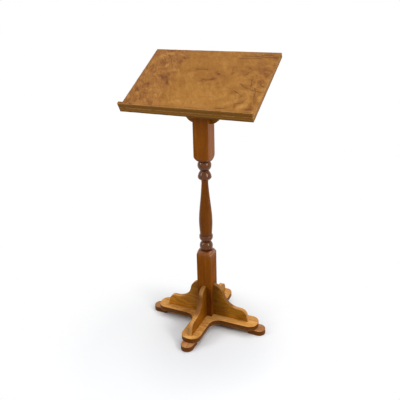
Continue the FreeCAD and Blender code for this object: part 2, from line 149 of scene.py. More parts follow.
class Wire:
    """A socket of a tree that Python's operators work on."""

    def __init__(self, graph, socket):
        self.graph, self.socket = graph, socket

    __add__, __radd__ = adds("ADD"), adds("ADD")
    __sub__, __rsub__ = adds("SUBTRACT"), adds("SUBTRACT", reflected=True)
    __mul__, __rmul__ = adds("MULTIPLY"), adds("MULTIPLY")
    __truediv__, __rtruediv__ = adds("DIVIDE"), adds("DIVIDE", reflected=True)
    __pow__, __abs__ = adds("POWER"), adds("ABSOLUTE")
    sine, cosine, floor, part = adds("SINE"), adds("COSINE"), adds("FLOOR"), adds("FRACT")

    def rise(self, low, high):
        """0 below low, 1 above high and a smooth step between; falls if low is above high."""
        sockets = {"Value": self, "From Min": low, "From Max": high}
        return self.graph.node("ShaderNodeMapRange", {"interpolation_type": "SMOOTHSTEP"}, sockets)


class Graph:
    """A node tree that is being wired."""

    def __init__(self, tree):
        self.tree = tree
        tree.nodes.clear()

    def node(self, kind, settings=None, sockets=None, out=0):
        """Adds a node: its settings first, then the values or wires of its sockets."""
        made = self.tree.nodes.new(kind)
        for key, value in (settings or {}).items():
            if key == "stops":
                self.set_stops(made.color_ramp, value)
            else:
                setattr(made, key, value)
        for key, value in (sockets or {}).items():
            if isinstance(value, Wire):
                self.tree.links.new(value.socket, made.inputs[key])
            else:
                made.inputs[key].default_value = value
        return Wire(self, made.outputs[out]) if len(made.outputs) else None

    def set_stops(self, ramp, stops):
        """Places the stops of a colour ramp."""
        while len(ramp.elements) < len(stops):
            ramp.elements.new(1)
        for element, (place, colour) in zip(ramp.elements, stops):
            element.position = place
            element.color = colour

    def maths(self, operation, *values):
        """A Math node on numbers and wires."""
        return self.node("ShaderNodeMath", {"operation": operation}, dict(enumerate(values)))

    def vectors(self, operation, *values, out=0):
        """A Vector Math node."""
        return self.node("ShaderNodeVectorMath", {"operation": operation}, dict(enumerate(values)), out)

    def axes(self, vector):
        """The three parts of a vector."""
        return [self.node("ShaderNodeSeparateXYZ", None, {"Vector": vector}, i) for i in range(3)]


print("node helpers ready")

# %% [markdown]
# The wooden pieces that are cut from a sheet share one way of making.  An outline is a closed walk
# of points with straight runs and arcs.  Each point also says how much of the sanded arris it gets,
# because an edge that is glued against another piece is left crisp.

# %% Outlines
POINT_STEP = 3.5 * MM
CRISP = 0.12                     # share of the arris on an edge that meets another piece


def run(start, end, share=1.0):
    """Points from start towards end, without the end."""
    start, end = Vector(start), Vector(end)
    count = max(1, round((end - start).length / POINT_STEP))
    return [(*start.lerp(end, i / count), share) for i in range(count)]


def arc(centre, radius, first, last, share=1.0):
    """Points along an arc between two angles in radians, without the end."""
    count = max(3, round(abs(last - first) * radius / POINT_STEP))
    angles = [first + (last - first) * i / count for i in range(count)]
    return [(centre[0] + radius * math.cos(a), centre[1] + radius * math.sin(a), share) for a in angles]


def bar_outline(low, high, corner):
    """A rectangle with a small radius on its corners, anticlockwise."""
    quarter = math.pi / 2
    middles = [(high.x - corner, low.y + corner), (high.x - corner, high.y - corner),
               (low.x + corner, high.y - corner), (low.x + corner, low.y + corner)]
    walk = []
    for i, (middle, following) in enumerate(zip(middles, middles[1:] + middles[:1])):
        turn = (i - 1) * quarter
        walk += arc(middle, corner, turn, turn + quarter)
        reach = Vector((math.cos(turn + quarter), math.sin(turn + quarter))) * corner
        walk += run(Vector(middle) + reach, Vector(following) + reach)
    return walk


print("a 60 by 40 mm bar has", len(bar_outline(Vector((0, 0)), Vector((60 * MM, 40 * MM)), 2 * MM)), "points")

# %% [markdown]
# Some steps come back for every piece.  A modifier or a node tree has to be turned into a plain mesh before
# the piece is dressed, and a mesh has to become an object.  Weighted normals keep broad faces flat while a
# small round beside them stays soft, which smooth shading alone wouldn't do.

# %% From meshes to pieces
SMOOTH_ANGLE = math.radians(50)


def plain_mesh(piece):
    """Replaces a piece's mesh by its evaluated one and removes the modifiers."""
    evaluated = piece.evaluated_get(bpy.context.evaluated_depsgraph_get())
    mesh = bpy.data.meshes.new_from_object(evaluated)
    piece.modifiers.clear()
    piece.data = mesh
    return piece


def linked(name, mesh):
    """A new object in the scene."""
    piece = bpy.data.objects.new(name, mesh)
    bpy.context.scene.collection.objects.link(piece)
    return piece


def as_piece(name, shape):
    """Turns a bmesh into an object in the scene."""
    mesh = bpy.data.meshes.new(name)
    shape.to_mesh(mesh)
    shape.free()
    return linked(name, mesh)


def flat_normals(piece):
    """Smooth shading that leaves broad faces flat."""
    piece.data.shade_smooth()
    piece.data.set_sharp_from_angle(angle=SMOOTH_ANGLE)
    weighted = piece.modifiers.new("flat faces", "WEIGHTED_NORMAL")
    weighted.keep_sharp = True
    return plain_mesh(piece)


print("sharp above", round(math.degrees(SMOOTH_ANGLE)), "degrees")

# %% [markdown]
# A Bevel modifier would give every sheet the same perfect edge.  Sandpaper and years of sleeves
# don't, so the edge is lofted by hand: rings of points run from the lower face round the arris, up
# the side and over the upper arris, and the arris radius wanders along the outline with a noise.

# %% A sheet with worn edges
ARRIS_STEPS = 4
WEAR_PER_METRE = 34.0
WORN = 0.75                      # how far the arris wanders from its own radius, as a share
UPPER_SEED = 7                   # the upper arris wears in its own way


def inward(outline):
    """At each point of an anticlockwise outline, the offset that moves both its sides in by one."""
    offsets = []
    for i, (x, y, _) in enumerate(outline):
        before = Vector(outline[i - 1][:2])
        after = Vector(outline[(i + 1) % len(outline)][:2])
        arriving = (Vector((x, y)) - before).normalized()
        leaving = (after - Vector((x, y))).normalized()
        first, second = Vector((-arriving.y, arriving.x)), Vector((-leaving.y, leaving.x))
        offsets.append((first + second) / (1 + first.dot(second)))
    return offsets


def arris_rings(outline, face, way, arris, seed):
    """Rings round one edge, from the flat face out to the side; way is the direction off the face."""
    offsets = inward(outline)
    rings = []
    for step in range(ARRIS_STEPS + 1):
        angle = math.pi / 2 * step / ARRIS_STEPS
        ring = []
        for (x, y, share), offset in zip(outline, offsets):
            wander = noise.noise(Vector((x * WEAR_PER_METRE, y * WEAR_PER_METRE, seed)))
            radius = arris * share * (1 + WORN * wander)
            inset = radius * (1 - math.sin(angle))
            drop = radius * (1 - math.cos(angle))
            ring.append((x + offset.x * inset, y + offset.y * inset, face - way * drop))
        rings.append(ring)
    return rings


def worn_sheet(name, outline, low, high, arris, placed=STRAIGHT, seed=0.0, shaped=None):
    """A sheet with the outline in X and Y, from low to high in Z; shaped may move a point last."""
    rings = arris_rings(outline, low, -1, arris, seed)
    rings += reversed(arris_rings(outline, high, 1, arris, seed + UPPER_SEED))
    shape = bmesh.new()
    loops = []
    for ring in rings:
        places = [shaped(Vector(p)) if shaped else Vector(p) for p in ring]
        loops.append([shape.verts.new(placed @ p) for p in places])
    for below, above in zip(loops, loops[1:]):
        for i in range(len(below)):
            shape.faces.new((below[i - 1], below[i], above[i], above[i - 1]))
    shape.faces.new(reversed(loops[0]))
    shape.faces.new(loops[-1])
    return flat_normals(as_piece(name, shape))


print("sheet maker ready, arris in", ARRIS_STEPS, "steps")

# %% [markdown]
# Every finished piece goes through the same last step: it gets its material, rides on the stand's one rigid
# body and hides the CAD node that it stands for.

# %% Dressing a piece
finished_pieces = []


def dress(piece, material, slot, *nodes):
    """Dresses a piece, sets it on the stand's body and hides its CAD nodes."""
    piece.data.materials.clear()
    piece.data.materials.append(material)
    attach(piece, "root")
    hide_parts(*nodes)
    finished_pieces.append(piece)
    print(piece.name, "stands for", ", ".join(nodes), "with", len(piece.data.polygons), "faces")
    return piece


print("dressing step ready, pieces so far:", len(finished_pieces))

# %% [markdown]
# Twenty wood screws hold the stand from beneath.  Their heads lie a millimetre below the surface, so
# that they scratch neither the floor nor a hand.  The seats come from the CAD node's own solids: each
# one that hangs together is a screw, and its lowest point is the face of its head.  A sheet that
# screws go into gets a round sinking over every head.

# %% Seats of the screws and the sinkings over them
WELD = 1e-6
HEAD_ROOM = 0.15 * MM            # play round a head
SINK_LOW, SINK_HIGH = -2.0 * MM, 0.35 * MM
SINK_SIDES = 24


def islands(node, held=STRAIGHT):
    """Lowest and highest corner of each separate solid of a node, in a frame that holds it square."""
    back = held.inverted()
    shape = bmesh.new()
    shape.from_mesh(frame["nodes"][node].data)
    bmesh.ops.remove_doubles(shape, verts=shape.verts, dist=WELD)
    left = set(shape.verts)
    boxes = []
    while left:
        found = [left.pop()]
        for vert in found:
            near = {edge.other_vert(vert) for edge in vert.link_edges} & left
            left -= near
            found.extend(near)
        boxes.append(extent([back @ v.co for v in found]))
    shape.free()
    return sorted(boxes, key=lambda box: tuple(round(v, 5) for v in box[0]))


def countersunk(piece, node, held=STRAIGHT):
    """Cuts a sinking over the head of every screw of a node."""
    drill = bmesh.new()
    for low, high in islands(node, held):
        radius = (high.x - low.x) / 2 + HEAD_ROOM
        centre = Vector(((low.x + high.x) / 2, (low.y + high.y) / 2, low.z + (SINK_LOW + SINK_HIGH) / 2))
        bmesh.ops.create_cone(drill, cap_ends=True, segments=SINK_SIDES, radius1=radius, radius2=radius,
                              depth=SINK_HIGH - SINK_LOW, matrix=held @ Matrix.Translation(centre))
    cutter = as_piece(node + "_drill", drill)
    piece.modifiers.new("sinkings", "BOOLEAN").object = cutter
    plain_mesh(piece)
    bpy.data.objects.remove(cutter)
    return flat_normals(piece)


print("screws found:", [len(islands(node)) for node in ("pad_screws", "bracket_screws", "ledge_screws")])

# %% [markdown]
# ## Finishes
#
# Colours are written as a painter would mix them, in display values from 0 to 255, and turned to
# the linear values that the renderer works in.  Patterns are made in millimetres in each piece's
# own frame: X along the grain, Y across it and Z through the plies.  One Mapping node of the
# Texture kind undoes the piece's place and turn and divides by a millimetre.

# %% Colours and patterns
MIX_FACTOR, MIX_A, MIX_B, MIX_COLOUR = 0, 6, 7, 2


def paint(red, green, blue):
    """A display colour as linear red, green, blue and alpha."""
    shares = [v / 255 for v in (red, green, blue)]
    linear = [v / 12.92 if v <= 0.04045 else ((v + 0.055) / 1.055) ** 2.4 for v in shares]
    return (*linear, 1.0)


class Finish(Graph):
    """A material's tree, with the patterns that wood needs."""

    def __init__(self, name):
        self.material = bpy.data.materials.new(name)
        self.material.use_nodes = True
        super().__init__(self.material.node_tree)

    def grain_space(self, place=(0, 0, 0), turn=(0, 0, 0)):
        """Object coordinates in millimetres in a piece's own frame."""
        seen = self.node("ShaderNodeTexCoord", out="Object")
        sockets = {"Vector": seen, "Location": place, "Rotation": turn, "Scale": (MM, MM, MM)}
        return self.node("ShaderNodeMapping", {"vector_type": "TEXTURE"}, sockets)

    def stretched(self, vector, amounts):
        return self.vectors("MULTIPLY", vector, amounts)

    def shifted(self, vector, other):
        return self.vectors("ADD", vector, other)

    def cloud(self, vector, scale, detail=3.0, roughness=0.5, distortion=0.0, out="Fac"):
        """Noise; the scale is in clouds per millimetre."""
        sockets = {"Vector": vector, "Scale": scale, "Detail": detail, "Roughness": roughness,
                   "Distortion": distortion}
        return self.node("ShaderNodeTexNoise", None, sockets, out)

    def grain(self, vector, amounts, detail=3.0, roughness=0.5):
        """Noise that is drawn out; the amounts are figures per millimetre along each axis."""
        return self.cloud(self.stretched(vector, amounts), 1.0, detail, roughness)

    def warped(self, vector, scale, reach, detail=2.0):
        """The vector pushed about by up to half of reach, in its own units."""
        push = self.cloud(vector, scale, detail, out="Color")
        centred = self.shifted(push, (-0.5, -0.5, -0.5))
        return self.shifted(vector, self.stretched(centred, (reach, reach, reach)))

    def mix(self, factor, first, second):
        """The first colour where the factor is 0 and the second where it is 1."""
        sockets = {MIX_FACTOR: factor, MIX_A: first, MIX_B: second}
        return self.node("ShaderNodeMix", {"data_type": "RGBA"}, sockets, MIX_COLOUR)

    def ramp(self, factor, *stops):
        return self.node("ShaderNodeValToRGB", {"stops": stops}, {"Fac": factor})

    def bump(self, height, depth, strength):
        return self.node("ShaderNodeBump", None, {"Height": height, "Distance": depth, "Strength": strength})

    def surface(self, colour, roughness, normal, **others):
        """The shader itself; the others are numbers, or the weight of a coat that is worn in places."""
        sockets = {"Base Color": colour, "Roughness": roughness, "Normal": normal}
        sockets.update({name.replace("_", " "): value for name, value in others.items()})
        shader = self.node("ShaderNodeBsdfPrincipled", None, sockets)
        self.node("ShaderNodeOutputMaterial", None, {"Surface": shader})
        return self.material


print("a mid brown is", [round(v, 3) for v in paint(150, 90, 40)])

# %% [markdown]
# Plywood shows two things: the face veneer and, on a cut edge, the plies.  On the edge the plies
# alternate, one cut along its fibres and one across them, and the one cut across drinks more stain.
# The height through the sheet picks the ply, the arris lies between edge and face, and each ply
# gets its own shade.  A faint wobble of the height keeps the glue lines from looking ruled.

# %% The cut edge of plywood
PLY = 2.2                        # thickness of one ply, in millimetres
GLUE_LINE = 0.09                 # share of a ply that the dark glue line takes
EDGE_STARTS = (0.9, 1.5)         # millimetres from the face, over which veneer turns to cut edge
ARRIS_STARTS, ARRIS_ENDS = (0.02, 0.35), (2.4, 1.0)


def ply_edge(finish, space, along, across, bands=()):
    """Colour of a cut edge, and where its plies lie across; along and across are the plies' tones.

    A band is a darker strip: its middle, its reach and its darkness.
    """
    wobble = finish.cloud(finish.stretched(space, (1, 1, 0.2)), 0.035, 2) - 0.5
    height = finish.axes(space)[2]
    layer = (height + wobble * 1.1) / PLY
    number = layer.floor()
    inside = layer.part()
    odd = (number * 0.5).part().rise(0.2, 0.3)
    shade = finish.node("ShaderNodeTexWhiteNoise", {"noise_dimensions": "1D"}, {"W": number}, "Value")
    fibres = finish.grain(space, (0.05, 0.05, 2.4), 4, 0.65)
    pores = finish.grain(space, (1.3, 1.3, 1.6), 3, 0.6)
    long_grain = finish.mix(fibres.rise(0.35, 0.7) * 0.28, along, paint(0, 0, 0))
    end_grain = finish.mix(pores.rise(0.45, 0.62) * 0.55, across, paint(30, 15, 5))
    colour = finish.mix(odd, long_grain, end_grain)
    colour = finish.mix(shade * 0.35, colour, paint(60, 32, 12))
    for middle, reach, darkness in bands:
        dark_band = abs(height + wobble * 3.0 - middle).rise(reach, reach * 0.5) * darkness
        colour = finish.mix(dark_band, colour, paint(40, 24, 2))
    glue = inside.rise(GLUE_LINE, 0.0) + inside.rise(1 - GLUE_LINE, 1.0)
    return finish.mix(glue * 0.6, colour, paint(48, 24, 10)), odd


def edge_share(finish, space, thickness):
    """1 on the cut edge and 0 on a face, and 1 on the worn arris and 0 elsewhere."""
    height = abs(finish.axes(space)[2])
    from_face = height * -1 + thickness / 2
    on_edge = from_face.rise(*EDGE_STARTS)
    arris = from_face.rise(*ARRIS_STARTS) * from_face.rise(*ARRIS_ENDS)
    return on_edge, arris


print("a 20 mm sheet shows", round(20 / PLY), "plies")

# %% [markdown]
# The foot's plywood has a plain rotary-cut face: wide flame figures where the knife skims the
# rings, fine fibres along them and short dark pores.  The flames are the level lines of a noise that
# is stretched along the grain.  The stain sits unevenly, and the varnish is worn on the arris.

# %% Stained plywood for the foot and the brackets
FOOT_FACE = (paint(156, 94, 34), paint(206, 148, 74), paint(230, 180, 108))
FOOT_EDGE = (paint(150, 88, 26), paint(104, 54, 10))
FLAME_LEVELS = 9.0
POST_SHADE_REACH = (10, -85)                 # millimetres along a bracket: painted shade, none outside and deepest by the post
HOLLOW_SHADE_OUT, HOLLOW_SHADE_IN = (-48, -34), (26, 6)   # painted shade on the steep cut edge of the hollow


def stained_ply(name, place, turn, thickness, shift=0.0, face=FOOT_FACE, edge=FOOT_EDGE, post_shade=False):
    """Face veneer, cut edge and worn arris of one stained piece; post_shade paints shade on it towards the
    post.
    """
    finish = Finish(name)
    space = finish.grain_space(place, turn)
    moved = finish.shifted(space, (shift, shift * 0.7, 0))
    bent = finish.warped(moved, 0.011, 26.0)
    figure = finish.grain(bent, (0.0045, 0.019, 0.019), 2, 0.4)
    flames = abs((figure * FLAME_LEVELS).part() * 2 - 1)
    fibres = finish.grain(bent, (0.022, 1.1, 1.1), 5, 0.7)
    blotches = finish.cloud(moved, 0.016, 4, 0.6)
    pores = finish.grain(moved, (0.16, 2.6, 2.6), 2, 0.5).rise(0.63, 0.72)
    streaks = finish.grain(bent, (0.011, 0.2, 0.2), 4, 0.62)
    depth = flames * 0.28 + fibres * 0.5 + streaks * 0.7 + blotches * 0.75 - 0.64
    veneer = finish.ramp(depth, (0.12, face[0]), (0.5, face[1]), (0.92, face[2]))
    veneer = finish.mix(pores * 0.55, veneer, paint(70, 36, 12))
    cut, odd = ply_edge(finish, space, *edge)
    on_edge, arris = edge_share(finish, space, thickness)
    colour = finish.mix(on_edge, veneer, cut)
    rubbed = arris * finish.cloud(moved, 0.06, 3).rise(0.35, 0.6)
    colour = finish.mix(rubbed * 0.45, colour, paint(214, 160, 98))
    grime = finish.cloud(moved, 0.03, 5, 0.65).rise(0.55, 0.75)
    colour = finish.mix(grime * 0.25, colour, paint(84, 46, 18))
    if post_shade:
        # painted shade towards the post
        along = finish.axes(finish.warped(space, 0.02, 30.0))[0]
        colour = finish.mix(along.rise(*POST_SHADE_REACH) * 0.5, colour, paint(66, 32, 4))
        # painted shade on the hollow's cut edge
        hollow = along.rise(*HOLLOW_SHADE_OUT) * along.rise(*HOLLOW_SHADE_IN) * on_edge
        colour = finish.mix(hollow * 0.7, colour, paint(96, 46, 6))
    gloss = 0.34 + fibres * 0.12 + rubbed * 0.2 + on_edge * 0.1
    relief = fibres * (1 - on_edge) - pores * 0.8 + odd * on_edge * 0.6
    return finish.surface(colour, gloss, finish.bump(relief, 0.12 * MM, 0.6), Specular_IOR_Level=0.11)


print("foot finish mixes", len(FOOT_FACE), "face tones and", len(FOOT_EDGE), "edge tones")

# %% [markdown]
# The board is the piece that people look at.  Its face veneer is a burl: the fibres swirl around sleeping
# buds, so there is no straight grain at all.  A veneer of this kind is bought for its marks, so the marks are
# listed one by one: soft dark clouds with a place, a size and a turn, and thin bark seams that run from point
# to point.  The space that they are drawn in is warped first, which turns ovals into wisps and straight seams
# into wandering ones.

# %% The marks of the burl, in millimetres across and up the board
CLOUDS = (                       # x, y, half length, half width, turn in degrees, darkness (pale below 0)
    (-115, 138, 17, 13, 20, 1.0), (-200, 105, 22, 30, 10, 0.55), (-150, 6, 34, 20, -25, 0.95),
    (-214, 13, 30, 7, -15, 0.6), (-132, -24, 16, 5, -62, 0.6), (-185, 58, 28, 5, 0, 0.6),
    (-118, -108, 18, 15, 30, 0.9), (-205, -92, 14, 9, 0, 0.5), (-203, -128, 18, 9, 20, 0.5),
    (-160, -130, 10, 16, 0, 0.4), (-235, -55, 34, 40, 0, 0.5), (-165, 152, 8, 22, 0, 0.4),
    (-130, 110, 20, 5, -8, 0.5), (-44, 104, 6, 9, 0, 0.4), (12, 2, 22, 12, 10, 0.95),
    (46, 9, 18, 9, 25, 0.85), (15, -16, 6, 12, 10, 0.5), (62, 41, 9, 7, 0, 0.75),
    (117, 47, 7, 8, 0, 0.95), (108, 74, 4, 20, 12, 0.5), (95, 5, 10, 46, 25, 0.3),
    (247, 66, 24, 24, 0, 0.85), (240, 7, 20, 14, 0, 0.75), (138, -30, 16, 12, 0, 0.5),
    (143, -72, 12, 24, -15, 0.45), (112, -104, 22, 12, 20, 0.35), (250, -85, 9, 34, 0, 0.5),
    (196, -112, 12, 14, 0, 0.6), (185, -132, 12, 10, 0, 0.7), (176, 158, 10, 4, 0, 0.8),
    (-190, 158, 32, 9, 0, -1.2), (-222, 141, 15, 10, 0, -1.3), (-140, 150, 8, 12, 30, -0.9),
    (-178, 84, 8, 24, 0, -1.2), (-60, 158, 26, 10, 0, -0.3), (-50, 32, 20, 14, -20, -0.35),
    (68, 85, 10, 24, 0, -0.3), (-160, -100, 32, 5, 12, -0.5), (-215, -70, 28, 4, 8, -0.5),
    (150, 20, 20, 14, 0, -0.25), (215, -80, 8, 26, 10, -0.5), (176, -70, 8, 7, 0, -0.9),
    (78, -18, 60, 9, -60, 0.3), (18, -72, 50, 8, -62, 0.2), (-92, 40, 60, 12, -65, 0.22),
    (-30, -60, 50, 14, -62, -0.2), (150, -118, 26, 12, 0, -0.6), (-50, -135, 34, 12, 0, -0.45),
    (262, -100, 8, 40, 0, -0.5),
)
SEAMS = (                        # each seam's points
    ((-42, 64), (-20, 66), (8, 65)), ((166, -10), (186, -26), (214, -39), (262, -52)),
    ((202, 17), (206, 0), (211, -17)), ((156, -50), (176, -64), (192, -76), (183, -92)),
    ((228, -30), (236, -52), (240, -92)), ((242, -8), (258, -20)), ((120, 158), (180, 156), (262, 152)),
    ((196, 164), (238, 167)), ((114, 142), (150, 145), (200, 146)), ((180, -122), (196, -116), (208, -108)),
    ((168, 92), (180, 80)), ((187, 74), (184, 62)), ((176, 56), (170, 44)),
    ((118, -151), (150, -149)), ((228, -147), (252, -144)), ((-138, -8), (-128, -34)),
)
BURL = (paint(96, 52, 16), paint(133, 82, 32), paint(158, 106, 43), paint(184, 134, 68))
BOARD_EDGE = (paint(204, 142, 54), paint(154, 98, 26))
print(len(CLOUDS), "clouds and", len(SEAMS), "seams")

# %% [markdown]
# A cloud is a soft oval.  A Mapping node moves, turns and scales the space so that the oval becomes
# a ball, and the distance from its middle says how dark it is.  A seam is a row of straight pieces,
# and what counts is the distance to the nearest one.  Marks could be painted in an image, but an
# image has a size and the nodes stay sharp however near one looks.

# %% Drawing the marks
def cloud_sum(finish, space):
    """How dark the clouds are together."""
    total = 0.0
    for x, y, length, width, turn, darkness in CLOUDS:
        sockets = {"Vector": space, "Location": (x, y, 0), "Rotation": (0, 0, math.radians(turn)),
                   "Scale": (length, width, 1)}
        centred = finish.node("ShaderNodeMapping", {"vector_type": "TEXTURE"}, sockets)
        away = finish.vectors("LENGTH", centred, out="Value")
        total = away.rise(1.5, 0.1) * darkness + total
    return total


def seam_distance(finish, space):
    """Distance to the nearest seam, in millimetres."""
    x, y, _ = finish.axes(space)
    nearest = None
    for points in SEAMS:
        for (x0, y0), (x1, y1) in zip(points, points[1:]):
            length = math.hypot(x1 - x0, y1 - y0)
            along_x, along_y = (x1 - x0) / length, (y1 - y0) / length
            from_x, from_y = x - x0, y - y0
            along = from_x * along_x + from_y * along_y
            beyond = along - finish.maths("MINIMUM", finish.maths("MAXIMUM", along, 0.0), length)
            aside = from_x * -along_y + from_y * along_x
            away = (aside * aside + beyond * beyond) ** 0.5
            nearest = away if nearest is None else finish.maths("MINIMUM", nearest, away)
    return nearest


def seam_marks(finish, space, patches):
    """The brown halo beside the seams, and the seams, thin where the patches are low."""
    away = seam_distance(finish, space)
    return away.rise(19, 1) * 0.26, (away / (patches * 2.4 - 0.3)).rise(3.2, 0.5)


print("segments:", sum(len(points) - 1 for points in SEAMS))

# %% [markdown]
# The veneer itself is built in layers, from large to small: the left end and the right end are
# restless and the middle is calm, swirls of five centimetres lie over that, then the marks, then
# silky fibres that run slantwise, and last the specks that one finds with a finger.

# %% The burl face of the board
FIBRE_TURN = math.radians(-62)
LEFT_END, RIGHT_END = (-85, -150), (110, 240)   # millimetres across: where the calm middle stops
FAR_RIGHT, LOW_HALF = (150, 262), (60, -150)
PLAIN_HALO = 0.15                # brown over a strip that has no seams
DARK_EDGE_START, DARK_EDGE_END = 6, 1   # millimetres from the far and left edges, towards which the face is darker


def burl_board(name, place, turn, thickness, bands, wear, marked_face=True):
    """Burl veneer on the face, plies on the edge; a narrow strip is left without marks."""
    finish = Finish(name)
    space = finish.grain_space(place, turn)
    level = finish.stretched(space, (1, 1, 0.1))
    bent = finish.warped(level, 0.011, 60.0, 3)
    curled = finish.warped(bent, 0.05, 14.0, 2)
    across, up, _ = finish.axes(space)
    left_end = across.rise(*LEFT_END)
    restless = left_end * 0.35 + across.rise(*RIGHT_END) * 0.45 + 0.4
    swirl = finish.cloud(finish.stretched(curled, (0.8, 1.25, 1)), 0.024, 5, 0.6, 0.4)
    levels = abs((finish.cloud(bent, 0.008, 3, 0.5, 0.5) * 9.0).part() * 2 - 1)
    drift = finish.cloud(level, 0.006, 3, 0.5)
    leaning = finish.node("ShaderNodeMapping", None, {"Vector": curled, "Rotation": (0, 0, -FIBRE_TURN)})
    silk = finish.grain(leaning, (0.10, 0.75, 0.4), 4, 0.65)
    streaks = finish.grain(leaning, (0.018, 0.12, 0.1), 3, 0.55)
    patches = finish.cloud(finish.stretched(curled, (0.7, 1.1, 1)), 0.05, 4, 0.65)
    marks, halo, seams = 0.0, PLAIN_HALO, 0.0
    if marked_face:
        wisped = finish.warped(finish.warped(level, 0.03, 12.0, 2), 0.12, 5.0, 2)
        marks = cloud_sum(finish, finish.stretched(wisped, (1, 1, 0))) * patches.rise(0.25, 0.62)
        seamed = finish.stretched(finish.warped(level, 0.13, 9.0, 4), (1, 1, 0))
        halo, seams = seam_marks(finish, seamed, patches)
    depth = ((swirl - 0.5) * restless * 1.5 + (drift - 0.5) * 0.5 + (levels - 0.5) * restless * 0.16
             + (silk - 0.5) * 0.34 + (streaks - 0.5) * (left_end * 0.9 + 0.45) + 0.61 - marks * 0.42)
    depth = depth - left_end * 0.06 - across.rise(*FAR_RIGHT) * 0.06 + up.rise(*LOW_HALF) * 0.05
    veneer = finish.ramp(depth, (0.08, BURL[0]), (0.36, BURL[1]), (0.62, BURL[2]), (0.98, BURL[3]))
    veneer = finish.mix(left_end * 0.22, veneer, paint(142, 92, 56))
    veneer = finish.mix(halo, veneer, paint(112, 66, 20))
    wander = finish.cloud(finish.stretched(curled, (0.6, 1.4, 1)), 0.03, 4, 0.6, 0.5)
    hairs = abs(wander - 0.5).rise(0.008, 0.001) * finish.cloud(level, 0.016, 2).rise(0.5, 0.6)
    specks = finish.cloud(curled, 0.5, 3, 0.6).rise(0.62, 0.7)
    dark = finish.maths("MINIMUM", hairs * 0.5 + seams * 0.7, 0.85)
    veneer = finish.mix(dark, veneer, paint(86, 44, 8))
    veneer = finish.mix(specks * 0.3 * restless, veneer, paint(96, 54, 20))
    cut, odd = ply_edge(finish, space, *BOARD_EDGE, bands)
    on_edge, arris = edge_share(finish, space, thickness)
    colour = finish.mix(on_edge, veneer, cut)
    rubbed = arris * finish.cloud(level, 0.05, 3).rise(0.62 - wear * 0.5, 0.72 - wear * 0.3)
    colour = finish.mix(rubbed * wear, colour, paint(210, 156, 104))
    if marked_face:
        far, left = board_high.y / MM, board_low.x / MM
        by_far = up.rise(far - DARK_EDGE_START, far - DARK_EDGE_END)
        by_left = across.rise(left + DARK_EDGE_START, left + DARK_EDGE_END)
        edge_dark = finish.maths("MAXIMUM", by_far, by_left)
        colour = finish.mix(edge_dark * 0.5, colour, paint(88, 58, 38))
    gloss = 0.34 + silk * 0.14 + on_edge * 0.08 + rubbed * 0.15
    relief = silk * (1 - on_edge) - dark * 1.4 - specks * 0.5 + odd * on_edge * 0.7
    return finish.surface(colour, gloss, finish.bump(relief, 0.10 * MM, 0.5), Specular_IOR_Level=0.07)


print("burl finish ready")

# %% [markdown]
# The post is solid wood, so its figure is a true section through a tree: rings about a pith that lies outside
# the stick and leans a little.  Cutting the rings with the turned shape draws the ovals on the beads and the
# flames on the blocks without any further work.  The heights of the turning come first, because the grooves
# between the beads get painted shade, together with some stain that collects there.

# %% Heights of the turning
LOWER_BLOCK, LOWER_SHOULDER, LOWER_BALL, BOWL, VASE = 304 * MM, 20.5 * MM, 40 * MM, 29 * MM, 232 * MM
SLIM_NECK, BELL, UPPER_BALL, UPPER_SHOULDER = 22 * MM, 39 * MM, 40 * MM, 23 * MM
TURNED_PARTS = (LOWER_BLOCK, LOWER_SHOULDER, LOWER_BALL, BOWL, VASE,
                SLIM_NECK, BELL, UPPER_BALL, UPPER_SHOULDER)
plate_low, plate_high = measured("base_plate")
heights = [plate_high.z]
for part in TURNED_PARTS:
    heights.append(heights[-1] + part)
block, ball, bowl, vase, neck, bell, top_ball, shoulder, top_block = heights[1:]
print("turned from", round(block, 3), "to", round(top_block, 3), "m")

# %% [markdown]
# Rings come from the distance to the pith, and fibres, streaks and pores are noises drawn out along the
# stick.  The beads, the bowl and the bell wear a glossy coat, as if burnished on the lathe.  The long vase
# and the flat blocks have none.  Towards the foot the wood is duller and darker with painted shade, and under
# the board it gets a painted shadow.

# %% Solid wood for the post
POST_TONES = (paint(102, 45, 0), paint(147, 79, 4), paint(176, 105, 18))
RING_WIDTH = 3.1                 # millimetres
PITH = (-62.0, 48.0)             # where the tree's heart lay, beside the stick
SHADED_GROOVE_LEVELS = ((ball + 1 * MM, 4, 0.6), (bowl + 3 * MM, 6, 0.8), (vase + 5 * MM, 4, 0.5), (bell, 4, 0.7),
           (top_ball + 4 * MM, 6, 0.85), (shoulder + 5 * MM, 8, 0.7))   # painted shade with some stain: height, reach in mm, darkness
BY_FOOT, BY_PLATE = (380, 300), (230, 130)   # millimetres up: painted shade towards the plate
SHADOW_UNDER_BOARD = (930, 975)            # millimetres up: painted shadow under the board


def between(height, start, end, below, above):
    """1 between two heights; each reach is how many millimetres before and after it takes."""
    rising = height.rise(start / MM - below[0], start / MM + below[1])
    return rising * height.rise(end / MM + above[1], end / MM - above[0])


